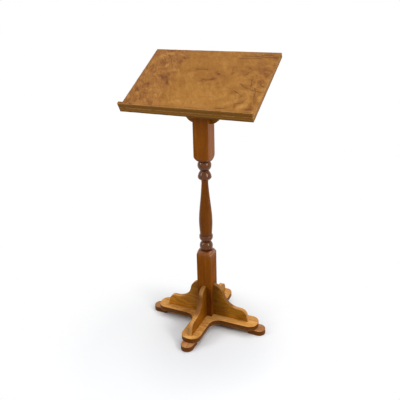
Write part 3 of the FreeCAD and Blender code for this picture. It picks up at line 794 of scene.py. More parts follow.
def solid_wood(name):
    """Dark stained hardwood with rings, fibres and pores along Z, with painted shade in the grooves, towards
    the plate and under the board.
    """
    finish = Finish(name)
    space = finish.grain_space()
    height = finish.axes(space)[2]
    x, y, z = finish.axes(finish.warped(finish.stretched(space, (1, 1, 0.12)), 0.02, 16.0))
    leaning_x = x - PITH[0] + z * 0.25
    leaning_y = y - PITH[1] + z * 0.1
    ring = (leaning_x * leaning_x + leaning_y * leaning_y) ** 0.5 / RING_WIDTH
    late = ring.part().rise(0.35, 1.0)
    fibres = finish.grain(space, (1.5, 1.5, 0.02), 5, 0.7)
    streaks = finish.grain(space, (0.16, 0.16, 0.006), 3, 0.6)
    blotches = finish.cloud(finish.stretched(space, (1, 1, 0.35)), 0.03, 4, 0.6)
    pores = finish.grain(space, (2.4, 2.4, 0.09), 2, 0.5).rise(0.62, 0.7)
    depth = fibres * 0.4 + streaks * 0.55 + blotches * 0.6 - late * 0.16 - 0.22
    colour = finish.ramp(depth, (0.15, POST_TONES[0]), (0.5, POST_TONES[1]), (0.85, POST_TONES[2]))
    colour = finish.mix(pores * 0.5, colour, paint(50, 22, 6))
    # painted shade in the grooves, with some stain that collects there
    groove_shade = 0.0
    for level, reach, darkness in SHADED_GROOVE_LEVELS:
        groove_shade = abs(height - level / MM).rise(reach, 0.3) * darkness + groove_shade
    # painted shade: darker towards the plate
    foot_shade = (height.rise(*BY_FOOT) * 0.3 + height.rise(*BY_PLATE) * 0.7) * (1.0 - blotches * 0.5)
    top_reach = (0, (top_block - shoulder) / MM)
    turned = between(height, ball, shoulder, (7, 0), top_reach)
    beads = (between(height, block, vase, (4, 6), (0, 12))
             + between(height, bell, shoulder, (6, 6), top_reach))
    colour = finish.mix(turned * (0.44 + beads * 0.14), colour, paint(60, 20, 0))
    colour = finish.mix(groove_shade, colour, paint(38, 14, 4))
    colour = finish.mix(foot_shade * 0.75, colour, paint(62, 20, 0))
    # painted shadow under the board
    colour = finish.mix(height.rise(*SHADOW_UNDER_BOARD) * 0.45, colour, paint(40, 14, 2))
    gloss = 0.32 + fibres * 0.1 + height.rise(*BY_FOOT) * 0.4
    relief = fibres - pores - late * 0.3
    return finish.surface(colour, gloss, finish.bump(relief, 0.03 * MM, 0.4), Specular_IOR_Level=0.15,
                          Specular_Tint=(1.0, 0.84, 0.66, 1.0), Coat_Weight=beads * 0.48,
                          Coat_Roughness=0.05, Coat_IOR=1.5)


print("rings every", RING_WIDTH, "mm")

# %% [markdown]
# The screws are zinc plated, and the coach screw is duller than the small ones.  The dowels are beech
# and lie inside the joints.  They could be built again, but nothing of them shows, so they keep their
# CAD meshes and only get their wood.

# %% Metal and hidden dowels
def plated_steel(name, tone, gloss):
    """Zinc plate: a cloudy grey metal with fine scratches."""
    finish = Finish(name)
    space = finish.grain_space()
    cloud = finish.cloud(space, 0.35, 4, 0.6)
    scratches = finish.grain(space, (3, 0.2, 3), 3, 0.7)
    colour = finish.mix(cloud.rise(0.3, 0.7), tone, paint(150, 148, 140))
    relief = finish.bump(scratches, 0.02 * MM, 0.5)
    return finish.surface(colour, scratches * 0.25 + gloss, relief, Metallic=1.0)


def plain_beech(name):
    """Pale beech with short flecks."""
    finish = Finish(name)
    space = finish.grain_space()
    fibres = finish.grain(space, (0.8, 0.8, 0.2), 4, 0.6)
    colour = finish.ramp(fibres, (0.3, paint(196, 158, 112)), (0.7, paint(222, 190, 148)))
    return finish.surface(colour, 0.6 + fibres * 0.15, finish.bump(fibres, 0.05 * MM, 0.4))


zinc = plated_steel("zinc_steel", paint(186, 186, 182), 0.28)
dull_zinc = plated_steel("dull_zinc_steel", paint(168, 168, 166), 0.38)
beech = plain_beech("beech_dowels")
for node in ("base_bracket_dowels", "top_bracket_dowels", "board_bracket_dowels", "board_post_dowels"):
    frame["nodes"][node].data.materials.clear()
    frame["nodes"][node].data.materials.append(beech)
print("metals and beech ready")

# %% [markdown]
# ## The foot
#
# One plate with four round-ended arms carries everything.  Its outline is walked once round the
# post, arm by arm, and each inside corner is a wide arc, so no arm looks stuck on.

# %% The base plate
ARM_WIDTH = 85 * MM
ARM_CORNER = 38 * MM
CROTCH = 46 * MM
ARRIS = 1.2 * MM
QUARTER = math.pi / 2

side_arm, front_arm = plate_high.x, plate_high.y


def cross_outline():
    """The plate's outline, anticlockwise."""
    half = ARM_WIDTH / 2
    walk = []
    for quarter, length in enumerate((side_arm, front_arm, side_arm, front_arm)):
        arm = run((half + CROTCH, -half), (length - ARM_CORNER, -half))
        arm += arc((length - ARM_CORNER, ARM_CORNER - half), ARM_CORNER, -QUARTER, 0)
        arm += run((length, ARM_CORNER - half), (length, half - ARM_CORNER))
        arm += arc((length - ARM_CORNER, half - ARM_CORNER), ARM_CORNER, 0, QUARTER)
        arm += run((length - ARM_CORNER, half), (half + CROTCH, half))
        arm += arc((half + CROTCH, half + CROTCH), CROTCH, 3 * QUARTER, 2 * QUARTER)
        turn = Matrix.Rotation(quarter * QUARTER, 2)
        walk += [(*(turn @ Vector((x, y))), share) for x, y, share in arm]
    return walk


plate_thickness = (plate_high.z - plate_low.z) / MM
plate_middle = (0, 0, (plate_low.z + plate_high.z) / 2)
base_plate = worn_sheet("base_plate_wood", cross_outline(), plate_low.z, plate_high.z, ARRIS, seed=1.0)
countersunk(base_plate, "bracket_screws")
plate_finish = stained_ply("stained_ply_plate", plate_middle, (0, 0, 0), plate_thickness)
dress(base_plate, plate_finish, "foot_plywood", "base_plate")

# %% [markdown]
# Each arm stands on a pad with a round nose that shows beyond it.  The four pads are one shape,
# turned about the post, and each has its own stretch of veneer.

# %% The foot pads
SIDES = {"right": 0, "back": 1, "left": 2, "front": 3}   # quarter turns about the post
PAD_FACE = (paint(128, 82, 44), paint(178, 124, 74), paint(208, 156, 104))


def pad_outline(start, end, width):
    """A pad along X: square at the inner end, half round at the outer one."""
    radius = width / 2
    walk = run((start, -radius), (end - radius, -radius))
    walk += arc((end - radius, 0), radius, -QUARTER, QUARTER)
    walk += run((end - radius, radius), (start, radius))
    walk += run((start, radius), (start, -radius))
    return walk


def round_the_post(kind, sides=SIDES):
    """Each side's number, name, node and turn, and the node's corners and middle with that undone."""
    for number, side in enumerate(sides):
        turn = Matrix.Rotation(SIDES[side] * QUARTER, 4, "Z")
        low, high = measured(kind + side, turn)
        yield number, side, kind + side, turn, low, high, (low + high) / 2


for number, side, node, turn, low, high, middle in round_the_post("foot_pad_"):
    pad = worn_sheet(node + "_wood", pad_outline(low.x, high.x, high.y - low.y), low.z, high.z, ARRIS,
                     turn, seed=20.0 + number)
    countersunk(pad, "pad_screws")
    pad_finish = stained_ply("stained_ply_" + node, turn @ middle, (0, 0, SIDES[side] * QUARTER),
                             (high.z - low.z) / MM, 300.0 + 170 * number, PAD_FACE)
    dress(pad, pad_finish, "foot_plywood", node)

# %% [markdown]
# ## The brackets
#
# Six brackets share one ogee: a round crest beside the post, a long hollow that is tangent to it, a
# short flat shelf and a round nose that falls to the toe.  The centre of the hollow is worked out so
# that the curves meet without a kink.  Upside down, the same outline carries the board, and there
# its wide end follows the board's slope.

# %% The ogee outline
CREST = 46 * MM
SHELF_HEIGHT = 53.5 * MM
SHELF_START = 118 * MM
SHELF_LENGTH = 9 * MM
NOSE = 30 * MM


def ogee_outline(length, height):
    """The outline in distance from the post and height above the wide end, anticlockwise."""
    crest = Vector((0, height - CREST))
    drop = crest.y - SHELF_HEIGHT
    sweep = (SHELF_START ** 2 + drop ** 2 - CREST ** 2) / (2 * (CREST + drop))
    hollow = Vector((SHELF_START, SHELF_HEIGHT + sweep))
    nose = Vector((SHELF_START + SHELF_LENGTH, SHELF_HEIGHT - NOSE))
    toe = Vector((length, 0))
    bend = math.atan2(hollow.y - crest.y, hollow.x)
    down = toe - nose
    lean = math.atan2(down.y, down.x) + math.acos(NOSE / down.length)
    nose_end = nose + NOSE * Vector((math.cos(lean), math.sin(lean)))
    walk = run((0, 0), toe, CRISP)
    walk += run(toe, nose_end)
    walk += arc(nose, NOSE, lean, QUARTER)
    walk += run((nose.x, SHELF_HEIGHT), (SHELF_START, SHELF_HEIGHT))
    walk += arc(hollow, sweep, 3 * QUARTER, bend + math.pi)
    walk += arc(crest, CREST, bend, QUARTER)
    walk += run((0, height), (0, 0), CRISP)
    return walk


print("ogee with", len(ogee_outline(163.5 * MM, 154 * MM)), "points")

# %% [markdown]
# An ogee is drawn flat and stood up: along the arm, up the post, and its thickness across.  Four turns about
# the post place it, as they did the pads.  Brackets are sawn in a batch, and each bracket's tones carry
# painted light, lighter or darker as the light falls on its side, and all of them get painted shade towards
# the post.

# %% The four base brackets
UPRIGHT = Matrix.Rotation(QUARTER, 4, "X")
BRACKET_EDGE = (paint(238, 182, 106), paint(208, 142, 68))
BRACKET_TONES = ((136, 79, 14), (184, 120, 28), (208, 148, 50))
SIDE_LIGHT_AND_TONE = {"right": (0.92, 0.92, 0.8), "back": (1.0, 1.0, 1.0),   # painted light: each bracket lighter or darker as the light falls on its side, the front one also warmer
         "left": (1.12, 1.13, 1.3), "front": (0.87, 0.78, 0.45)}


def dress_bracket(bracket, node, side, middle, thickness, shift):
    """Gives a bracket the tones of its side, with their painted light, and dresses it."""
    # painted light: the tones scaled for this side
    face = [paint(*[v * share for v, share in zip(tone, SIDE_LIGHT_AND_TONE[side])]) for tone in BRACKET_TONES]
    turn = (QUARTER, 0, SIDES[side] * QUARTER)
    stained = stained_ply("stained_ply_" + node, middle, turn, thickness / MM, shift, face, BRACKET_EDGE,
                          post_shade=True)
    dress(bracket, stained, "foot_plywood", node)


for number, side, node, turn, low, high, middle in round_the_post("base_bracket_"):
    half = (high.y - low.y) / 2
    placed = turn @ Matrix.Translation((low.x, 0, plate_high.z)) @ UPRIGHT
    bracket = worn_sheet(node + "_wood", ogee_outline(high.x - low.x, high.z - plate_high.z), -half, half,
                         ARRIS, placed, seed=40.0 + number)
    dress_bracket(bracket, node, side, turn @ middle, 2 * half, 900.0 + 210 * number)

# %% [markdown]
# Upside down, the ogee's wide end would be level, and the board isn't.  A joiner saws that end to the
# slope.  Here every point is moved up or down in proportion instead, so that the wide end lands on the
# board's underside, the narrow end stays where it is and the outline keeps its points.

# %% The two brackets under the board
bracket_height = measured("base_bracket_right")[1].z - plate_high.z
board_thickness = board_high.z - board_low.z


def underside(y):
    """Height of the board's underside over the floor, at a distance y behind the post's axis."""
    rise = (y - face_middle.y) * math.tan(BOARD_TILT)
    return face_middle.z + rise - board_thickness / math.cos(BOARD_TILT)


BOARD_SIDES = ("right", "left")
for number, side, node, turn, low, high, middle in round_the_post("top_bracket_", BOARD_SIDES):
    half = (high.y - low.y) / 2
    wide_end = low.z + bracket_height
    flip = turn @ Matrix.Translation((low.x, 0, wide_end)) @ Matrix.Rotation(-QUARTER, 4, "X")

    def sloped(point, flip=flip, wide_end=wide_end):
        """Stretches the wide end up to the board's underside."""
        there = flip @ point
        reach = (underside(there.y) - low.z) / (wide_end - low.z)
        there.z = low.z + (there.z - low.z) * reach
        return flip.inverted() @ there

    bracket = worn_sheet(node + "_wood", ogee_outline(high.x - low.x, bracket_height), -half, half,
                         ARRIS, flip, seed=60.0 + number, shaped=sloped)
    dress_bracket(bracket, node, side, turn @ middle, 2 * half, 2100.0 + 190 * number)

# %% [markdown]
# Three things are the same for every tree of Geometry Nodes: it has named inputs, it ends in real
# geometry with a material, and a modifier puts it on a piece.  Inputs are set by their identifiers,
# because the names are only labels.

# %% Trees for Geometry Nodes
def new_tree(name, inputs):
    """A Geometry Nodes tree; returns its graph, its input wires and the inputs' identifiers."""
    tree = bpy.data.node_groups.new(name, "GeometryNodeTree")
    graph = Graph(tree)
    identifiers = {}
    for label, kind, value in inputs:
        socket = tree.interface.new_socket(name=label, in_out="INPUT", socket_type="NodeSocket" + kind)
        identifiers[label] = socket.identifier
        if value is not None:
            socket.default_value = value
    tree.interface.new_socket(name="Geometry", in_out="OUTPUT", socket_type="NodeSocketGeometry")
    entry = tree.nodes.new("NodeGroupInput")
    wires = {label: Wire(graph, entry.outputs[label]) for label, _, _ in inputs}
    return graph, wires, identifiers


def close_tree(graph, geometry, material):
    """Ends a tree: real geometry in its material."""
    real = graph.node("GeometryNodeRealizeInstances", None, {"Geometry": geometry})
    stained = graph.node("GeometryNodeSetMaterial", None, {"Geometry": real, "Material": material})
    graph.node("NodeGroupOutput", None, {"Geometry": stained})


def run_tree(piece, made, values):
    """Puts a tree on a piece; its inputs are set by their identifiers."""
    tree, identifiers = made
    modifier = piece.modifiers.new(tree.name, "NODES")
    modifier.node_group = tree
    for label, value in values.items():
        modifier[identifiers[label]] = value


print("tree helpers ready")

# %% [markdown]
# ## The turned post
#
# A turner starts from a square stick and cuts only between two marks, so the stick's shape is a
# rule: at every height the outside is whichever is nearer to the axis, the turned radius or the flat
# side.  Geometry Nodes say exactly that.  A path along the axis carries the turned radius at every
# height, Curve to Mesh sweeps a ring along it, and one Set Position pulls each point in to the flat
# side with a smooth minimum, which leaves the soft crest that sandpaper makes.

# %% A lathe and a plane in Geometry Nodes
CORNER_CROWDING = 1.6            # draws the ring's columns towards the corners
LEAST_SQUARE = 1e-14             # keeps the radius from being nought on the axis itself
LATHE_INPUTS = (                 # name, kind and first value; the slope starts above any small piece
    ("Path", "Geometry", None), ("Sides", "Int", 4), ("Columns per side", "Int", 24),
    ("Flat distance", "Float", 0.03), ("Softness", "Float", 0.001), ("Slope start", "Float", 10.0),
    ("Slope top", "Float", 11.0), ("Slope middle", "Float", 11.0), ("Slope rise", "Float", 0.0),
    ("Wood", "Material", None))


def crowded_ring(graph, sides, columns):
    """A ring of radius 1 whose points crowd towards the corners of a polygon with that many sides."""
    ring = graph.node("GeometryNodeCurvePrimitiveCircle", None,
                      {"Resolution": sides * columns, "Radius": 1.0})
    index = graph.node("GeometryNodeInputIndex") / columns
    offset = index.part() * 2 - 1
    pulled = offset * abs(offset) ** (CORNER_CROWDING - 1)
    angle = (index.floor() + 0.5 + pulled * 0.5) * (2 * math.pi / sides)
    place = graph.node("ShaderNodeCombineXYZ", None, {"X": angle.cosine(), "Y": angle.sine()})
    return graph.node("GeometryNodeSetPosition", None, {"Geometry": ring, "Position": place})


def planed(graph, wires):
    """The new place of a swept point: pulled in to the flat side, and up or down to the slope."""
    here = graph.node("GeometryNodeInputPosition")
    x, y, z = graph.axes(here)
    radius = (x * x + y * y + LEAST_SQUARE) ** 0.5
    side = math.pi / wires["Sides"]
    turned = graph.maths("ARCTAN2", y, x) + side
    from_middle = graph.maths("FLOORED_MODULO", turned, side * 2) - side
    flat = wires["Flat distance"] / from_middle.cosine()
    share = graph.maths("SMOOTH_MIN", radius, flat, wires["Softness"]) / radius
    lift = wires["Slope middle"] + y * share * wires["Slope rise"]
    above = z - wires["Slope start"]
    span = wires["Slope top"] - wires["Slope start"]
    sloped = above / span * (lift - wires["Slope start"]) + wires["Slope start"]
    is_above = graph.maths("GREATER_THAN", z, wires["Slope start"])
    height = z + is_above * (sloped - z)
    return graph.node("ShaderNodeCombineXYZ", None, {"X": x * share, "Y": y * share, "Z": height})


def lathe_tree():
    """A ring swept along the path and planed."""
    graph, wires, identifiers = new_tree("lathe", LATHE_INPUTS)
    ring = crowded_ring(graph, wires["Sides"], wires["Columns per side"])
    radius = graph.node("GeometryNodeInputRadius")
    swept = graph.node("GeometryNodeCurveToMesh", None,
                       {"Curve": wires["Path"], "Profile Curve": ring, "Scale": radius, "Fill Caps": True})
    shaped = graph.node("GeometryNodeSetPosition", None,
                        {"Geometry": swept, "Position": planed(graph, wires)})
    close_tree(graph, shaped, wires["Wood"])
    return graph.tree, identifiers


LATHE = lathe_tree()
print("lathe tree with", len(LATHE[0].nodes), "nodes")

# %% [markdown]
# The path for the lathe is a straight poly curve whose points carry a radius.  Profiles are drawn
# the way a turner's template is: arcs through three points.  A bulge says how far a curve stands
# proud of the straight line between its ends.

# %% Profiles from arcs
PROFILE_STEP = 0.8 * MM


def arc_through(a, b, c):
    """Points from a to c along the circle through b, as (radius, height), without c."""
    a, b, c = Vector(a), Vector(b), Vector(c)
    u, v = b - a, c - a
    doubled = 2 * (u.x * v.y - u.y * v.x)
    across = (u.length_squared * v.y - v.length_squared * u.y) / doubled
    along = (v.length_squared * u.x - u.length_squared * v.x) / doubled
    centre = a + Vector((across, along))
    first = math.atan2(a.y - centre.y, a.x - centre.x)
    last = math.atan2(c.y - centre.y, c.x - centre.x)
    if doubled > 0 and last < first:
        last += 2 * math.pi
    if doubled < 0 and last > first:
        last -= 2 * math.pi
    size = (a - centre).length
    count = max(3, round(abs(last - first) * size / PROFILE_STEP))
    angles = [first + (last - first) * i / count for i in range(count)]
    return [(centre.x + size * math.cos(t), centre.y + size * math.sin(t)) for t in angles]


def proud(a, b, bulge):
    """An arc from a up to b that stands proud of the straight line by bulge."""
    run_up = Vector(b) - Vector(a)
    outward = Vector((run_up.y, -run_up.x)).normalized()
    return arc_through(a, (Vector(a) + Vector(b)) / 2 + outward * bulge, b)


print("profile step", PROFILE_STEP / MM, "mm")

# %% [markdown]
# The profile becomes a path that only rises, since two rings at one height would leave a face
# without area.  The swept mesh may come out with its inside outwards, so its normals are worked out
# afresh.

# %% Running the lathe
LEAST_RISE = 0.02 * MM


def lathe_path(name, profile):
    """A straight path along Z whose points carry the turned radius."""
    curve = bpy.data.curves.new(name, "CURVE")
    curve.dimensions = "3D"
    spline = curve.splines.new("POLY")
    spline.points.add(len(profile) - 1)
    height = profile[0][1]
    for point, (radius, level) in zip(spline.points, profile):
        height = max(level, height + LEAST_RISE)
        point.co = (0, 0, height, 1)
        point.radius = radius
    return linked(name, curve)


def run_lathe(name, profile, material, **settings):
    """Sweeps a profile and returns a plain mesh piece."""
    path = lathe_path(name + "_path", profile)
    values = {label.replace("_", " "): value for label, value in settings.items()}
    run_tree(path, LATHE, {**values, "Wood": material})
    evaluated = path.evaluated_get(bpy.context.evaluated_depsgraph_get())
    mesh = bpy.data.meshes.new_from_object(evaluated)
    bpy.data.objects.remove(path)
    outside = bmesh.new()
    outside.from_mesh(mesh)
    bmesh.ops.recalc_face_normals(outside, faces=outside.faces)
    outside.to_mesh(mesh)
    outside.free()
    return linked(name, mesh)


print("every ring lies at least", LEAST_RISE / MM, "mm over the last")

# %% [markdown]
# From the foot up the profile goes block, shoulder, ball, bowl, vase, neck, bell, ball, shoulder and
# block.  Most of that is arcs.  The vase is one long swelling curve, so a cubic runs between a few
# knots that give a radius and a slope, as a turner sets callipers at a few heights and joins them by
# eye.

# %% The post's profile
POST_WIDTH = 66 * MM
CORNER_RADIUS = 46.2 * MM        # the square's corners, just rounded off
BEAD, BALL_NECK, BLOCK_NECK = 28.8 * MM, 16.5 * MM, 23 * MM
BOWL_RIM, NECK = 26.3 * MM, 14.5 * MM
BLOCK_ROWS = 24
SLOPE_ROOM = 60 * MM             # how far under the board the rows start to lean
VASE_KNOTS = ((0.0, 25.0, 0.08), (55.0, 28.6, 0.018), (143.5, 22.7, -0.109), (232.0, 14.5, -0.06))


def vase_radius(height):
    """Radius of the vase above its foot: a cubic between knots of height, radius and slope."""
    for (z0, r0, m0), (z1, r1, m1) in zip(VASE_KNOTS, VASE_KNOTS[1:]):
        if height <= z1:
            break
    span = z1 - z0
    t = (height - z0) / span
    return (r0 * (2 * t ** 3 - 3 * t ** 2 + 1) + m0 * span * (t ** 3 - 2 * t ** 2 + t)
            + r1 * (3 * t ** 2 - 2 * t ** 3) + m1 * span * (t ** 3 - t ** 2))


def post_profile(low, high):
    """The whole post as (radius, height), from the plate to above the board's underside."""
    bowl_lip, bell_lip = bowl + 0.82 * BOWL, bell + 0.25 * BELL
    profile = [(CORNER_RADIUS, low + (block - low) * i / BLOCK_ROWS) for i in range(BLOCK_ROWS)]
    profile += proud((CORNER_RADIUS, block), (BLOCK_NECK, ball), 4 * MM)
    profile += arc_through((BLOCK_NECK, ball), (BEAD, ball + 0.42 * LOWER_BALL), (BALL_NECK, bowl))
    profile += proud((BALL_NECK, bowl), (BEAD, bowl_lip), 5 * MM)
    profile += proud((BEAD, bowl_lip), (BOWL_RIM, vase), 1.5 * MM)
    profile.append((BOWL_RIM, vase))
    rows = round(VASE / (2 * MM))
    profile += [(vase_radius(VASE / MM * i / rows) * MM, vase + VASE * i / rows) for i in range(rows)]
    profile += arc_through((NECK, neck), (NECK - 0.2 * MM, neck + SLIM_NECK / 2), (BALL_NECK, bell))
    profile += proud((BALL_NECK, bell), (BEAD, bell_lip), 2.6 * MM)
    profile += proud((BEAD, bell_lip), (BALL_NECK, top_ball), 2.6 * MM)
    profile += arc_through((BALL_NECK, top_ball), (BEAD, top_ball + 0.56 * UPPER_BALL),
                           (BLOCK_NECK, shoulder))
    profile += proud((BLOCK_NECK, shoulder), (CORNER_RADIUS, top_block), 4 * MM)
    rise = (high - top_block) / BLOCK_ROWS
    return profile + [(CORNER_RADIUS, top_block + rise * i) for i in range(BLOCK_ROWS + 1)]


slope_start = underside(-POST_WIDTH) - SLOPE_ROOM
post_top = underside(0)
post_wood = solid_wood("post_wood")
turned_post = run_lathe("turned_post_wood", post_profile(plate_high.z, post_top), post_wood, Sides=4,
                        Columns_per_side=24, Flat_distance=POST_WIDTH / 2, Softness=1.0 * MM,
                        Slope_start=slope_start, Slope_top=post_top, Slope_middle=post_top,
                        Slope_rise=math.tan(BOARD_TILT))
flat_normals(turned_post)
dress(turned_post, post_wood, "post_wood", "turned_post")

# %% [markdown]
# ## The reading board and its ledge
#
# The board is one sheet with barely rounded corners, and the ledge is a strip of the same ply that
# is set into it along the lower edge.  Both are lofted in the board's own frame and then laid on the
# slope.

# %% The board and the ledge
BOARD_CORNER = 1.6 * MM
LEDGE_ARRIS = 1.5 * MM
SANDED = Vector((0, 0.5 * MM, 0))   # what sandpaper took off the board's far edge
BOARD_WEAR, LEDGE_WEAR = 0.5, 0.8   # the ledge's arris is rubbed by every book
BOARD_BAND = (-board_thickness / MM / 2, 9.0, 0.62)   # middle, reach and darkness of a darker strip
LEDGE_BAND = (7.0, 8.0, 0.32)    # the middle is over the board's face here

ledge_low, ledge_high = measured("book_ledge", ON_BOARD)
board = worn_sheet("reading_board_wood", bar_outline(board_low, board_high - SANDED, BOARD_CORNER),
                   board_low.z, board_high.z, ARRIS, ON_BOARD, seed=80.0)
countersunk(board, "ledge_screws", ON_BOARD)
board_middle = ON_BOARD @ Vector((0, 0, -board_thickness / 2))
board_finish = burl_board("burl_board", board_middle, (BOARD_TILT, 0, 0), board_thickness / MM,
                          (BOARD_BAND,), BOARD_WEAR)
dress(board, board_finish, "board_plywood", "reading_board")

ledge = worn_sheet("book_ledge_wood", bar_outline(ledge_low, ledge_high, BOARD_CORNER),
                   0.0, ledge_high.z, LEDGE_ARRIS, ON_BOARD, seed=90.0)
ledge_middle = ON_BOARD @ Vector((0, 0, ledge_high.z / 2))
ledge_band = (LEDGE_BAND[0] - ledge_high.z / MM / 2, *LEDGE_BAND[1:])
ledge_finish = burl_board("burl_ledge", ledge_middle, (BOARD_TILT, 0, 0), ledge_high.z / MM,
                          (ledge_band,), LEDGE_WEAR, marked_face=False)
print("ledge stands", round(ledge_high.z / MM, 1), "mm over the face, front at", round(ledge_low.y / MM, 1))
dress(ledge, ledge_finish, "board_plywood", "book_ledge")

# %% [markdown]
# ## Screws
#
# A screw of each size is turned on the same lathe, with its thread as a row of rings.  Setting
# twenty of them by hand would be slow, so a second tree cuts the cross in one head and puts a copy
# on every seat.  Each is spun by a random angle with a fixed seed, because nobody lines up the slots
# under a table.

# %% The tree that drives the screws
SCREW_INPUTS = (
    ("Seats", "Geometry", None), ("Screw", "Object", None), ("Slot length", "Float", 0.005),
    ("Slot width", "Float", 0.0012), ("Slot depth", "Float", 0.0016), ("Seed", "Int", 1),
    ("Metal", "Material", None))


def cross_cut(graph, wires):
    """The screw with a cross-shaped slot cut into its head."""
    size = graph.node("ShaderNodeCombineXYZ", None,
                      {"X": wires["Slot length"], "Y": wires["Slot width"], "Z": wires["Slot depth"] * 2})
    cut = graph.node("GeometryNodeObjectInfo", None, {"Object": wires["Screw"]}, "Geometry")
    for quarter in range(2):
        bar = graph.node("GeometryNodeMeshCube", None, {"Size": size})
        bar = graph.node("GeometryNodeTransform", None,
                         {"Geometry": bar, "Rotation": (0, 0, quarter * QUARTER)})
        cut = graph.node("GeometryNodeMeshBoolean", {"operation": "DIFFERENCE"},
                         {"Mesh 1": cut, "Mesh 2": bar})
    return cut


def screws_tree():
    """A cut screw on every seat, aimed along the seat's axis and spun about it."""
    graph, wires, identifiers = new_tree("screws", SCREW_INPUTS)
    axis = graph.node("GeometryNodeInputNamedAttribute", {"data_type": "FLOAT_VECTOR"}, {"Name": "axis"})
    aimed = graph.node("FunctionNodeAlignRotationToVector", {"axis": "Z"}, {"Vector": axis})
    spin = graph.node("FunctionNodeRandomValue", {"data_type": "FLOAT"},
                      {2: 0.0, 3: 2 * math.pi, "Seed": wires["Seed"]}, 1)
    about_axis = graph.node("FunctionNodeAxisAngleToRotation", None, {"Axis": (0, 0, 1), "Angle": spin})
    turned = graph.node("FunctionNodeRotateRotation", {"rotation_space": "LOCAL"},
                        {"Rotation": aimed, "Rotate By": about_axis})
    driven = graph.node("GeometryNodeInstanceOnPoints", None,
                        {"Points": wires["Seats"], "Instance": cross_cut(graph, wires), "Rotation": turned})
    close_tree(graph, driven, wires["Metal"])
    return graph.tree, identifiers


SCREWS = screws_tree()
print("screws tree with", len(SCREWS[0].nodes), "nodes")

# %% [markdown]
# The lathe turns one screw of each size with its head at 0, in the sizes of the CAD node.  A seat is
# a single point that carries the direction to drive in, so the same tree serves the floor's level and
# the board's slope.  A boolean cut can leave a doubled edge, so the mesh is validated at the end.

# %% The screws themselves
THREAD_PITCH = 1.8 * MM
THREAD_ROOT = 0.72               # root radius of the thread, as a share of the shank's
HEAD_TO_SHANK = 1.96
SLOT_TO_HEAD = 1.3               # length of the slot, as a share of the head's radius
METAL_ANGLE = math.radians(30)
NO_FLATS = 1.0                   # a flat side so far out that the piece stays round


def thread(shank, start, end, pitch):
    """A thread between two heights, as a row of rings."""
    rings = [(shank, start)]
    for i in range(int((end - start) / pitch)):
        level = start + pitch * (i + 0.5)
        rings += [(shank * THREAD_ROOT, level), (shank, level + pitch / 2)]
    return rings + [(shank * THREAD_ROOT, end)]


def screw_profile(head, shank, length):
    """A countersunk wood screw as (radius, height), its head at 0."""
    rim = 0.3 * MM
    profile = [(head * 0.96, 0.0), (head, 0.1 * MM), (head, rim), (shank, head - shank + rim)]
    return profile + thread(shank, 0.35 * length, length - 3 * shank, THREAD_PITCH) + [(0.1 * MM, length)]


def set_screws(node, seed, held=STRAIGHT):
    """Replaces a node's screws by threaded ones on the same seats."""
    boxes = islands(node, held)
    low, high = boxes[0]
    head = (high.x - low.x) / 2
    profile = screw_profile(head, head / HEAD_TO_SHANK, high.z - low.z)
    template = run_lathe(node + "_template", profile, zinc, Sides=4, Columns_per_side=6,
                         Flat_distance=NO_FLATS, Softness=0.0)
    seats = bpy.data.meshes.new(node + "_seats")
    seats.from_pydata([held @ Vector(((a.x + b.x) / 2, (a.y + b.y) / 2, a.z)) for a, b in boxes], [], [])
    axis = seats.attributes.new("axis", "FLOAT_VECTOR", "POINT")
    for item in axis.data:
        item.vector = held.to_3x3() @ Vector((0, 0, 1))
    piece = linked(node + "_metal", seats)
    run_tree(piece, SCREWS, {"Screw": template, "Slot length": SLOT_TO_HEAD * head, "Seed": seed,
                             "Metal": zinc})
    plain_mesh(piece)
    piece.data.validate()
    bpy.data.objects.remove(template)
    piece.data.shade_smooth()
    piece.data.set_sharp_from_angle(angle=METAL_ANGLE)
    return dress(piece, zinc, "zinc_steel", node)


set_screws("pad_screws", 3)
set_screws("bracket_screws", 5)
set_screws("ledge_screws", 7, ON_BOARD)

# %% [markdown]
# One heavy coach screw pulls the post down on the plate.  Its six-sided head is the post's rule
# again, with six flats instead of four: the lathe makes a domed disc and the plane cuts the flats.

# %% The coach screw and its washer
COACH_SHANK, COACH_PITCH = 5 * MM, 4 * MM
COACH_PLAIN, COACH_POINT = 30 * MM, 10 * MM   # plain shank over the head, and the point's length
WASHER_BORE = 5.1 * MM


def coach_profile(low, high, head_high, across):
    """Domed head, shank with a thread and a point, as (radius, height)."""
    corner = across / 2 / math.cos(math.pi / 6)
    head = [(corner * 0.8, low), (corner * 0.9, low + 0.4 * MM), (corner * 0.99, low + 1.4 * MM),
            (corner, head_high - 0.2 * MM), (corner * 0.98, head_high), (COACH_SHANK, head_high + 0.1 * MM)]
    rings = thread(COACH_SHANK, head_high + COACH_PLAIN, high - COACH_POINT, COACH_PITCH)
    return head + rings + [(0.2 * MM, high)]


def washer_profile(low, high, radius, bore):
    """A flat ring with eased rims, as (radius, height), outside only."""
    ease = 0.3 * MM
    return [(bore, low), (radius - ease, low), (radius, low + ease), (radius, high - ease),
            (radius - ease, high), (bore, high)]


coach_low, coach_high = measured("post_coach_screw")
washer_low, washer_high = measured("post_washer")
coach = run_lathe("post_coach_screw_metal",
                  coach_profile(coach_low.z, coach_high.z, washer_low.z, coach_high.y - coach_low.y),
                  dull_zinc, Sides=6, Columns_per_side=8, Flat_distance=coach_high.y, Softness=0.2 * MM)
flat_normals(coach)
dress(coach, dull_zinc, "coach_steel", "post_coach_screw")
washer = run_lathe("post_washer_metal",
                   washer_profile(washer_low.z, washer_high.z, washer_high.x, WASHER_BORE),
                   dull_zinc, Sides=6, Columns_per_side=10, Flat_distance=NO_FLATS, Softness=0.0)
flat_normals(washer)
dress(washer, dull_zinc, "coach_steel", "post_washer")
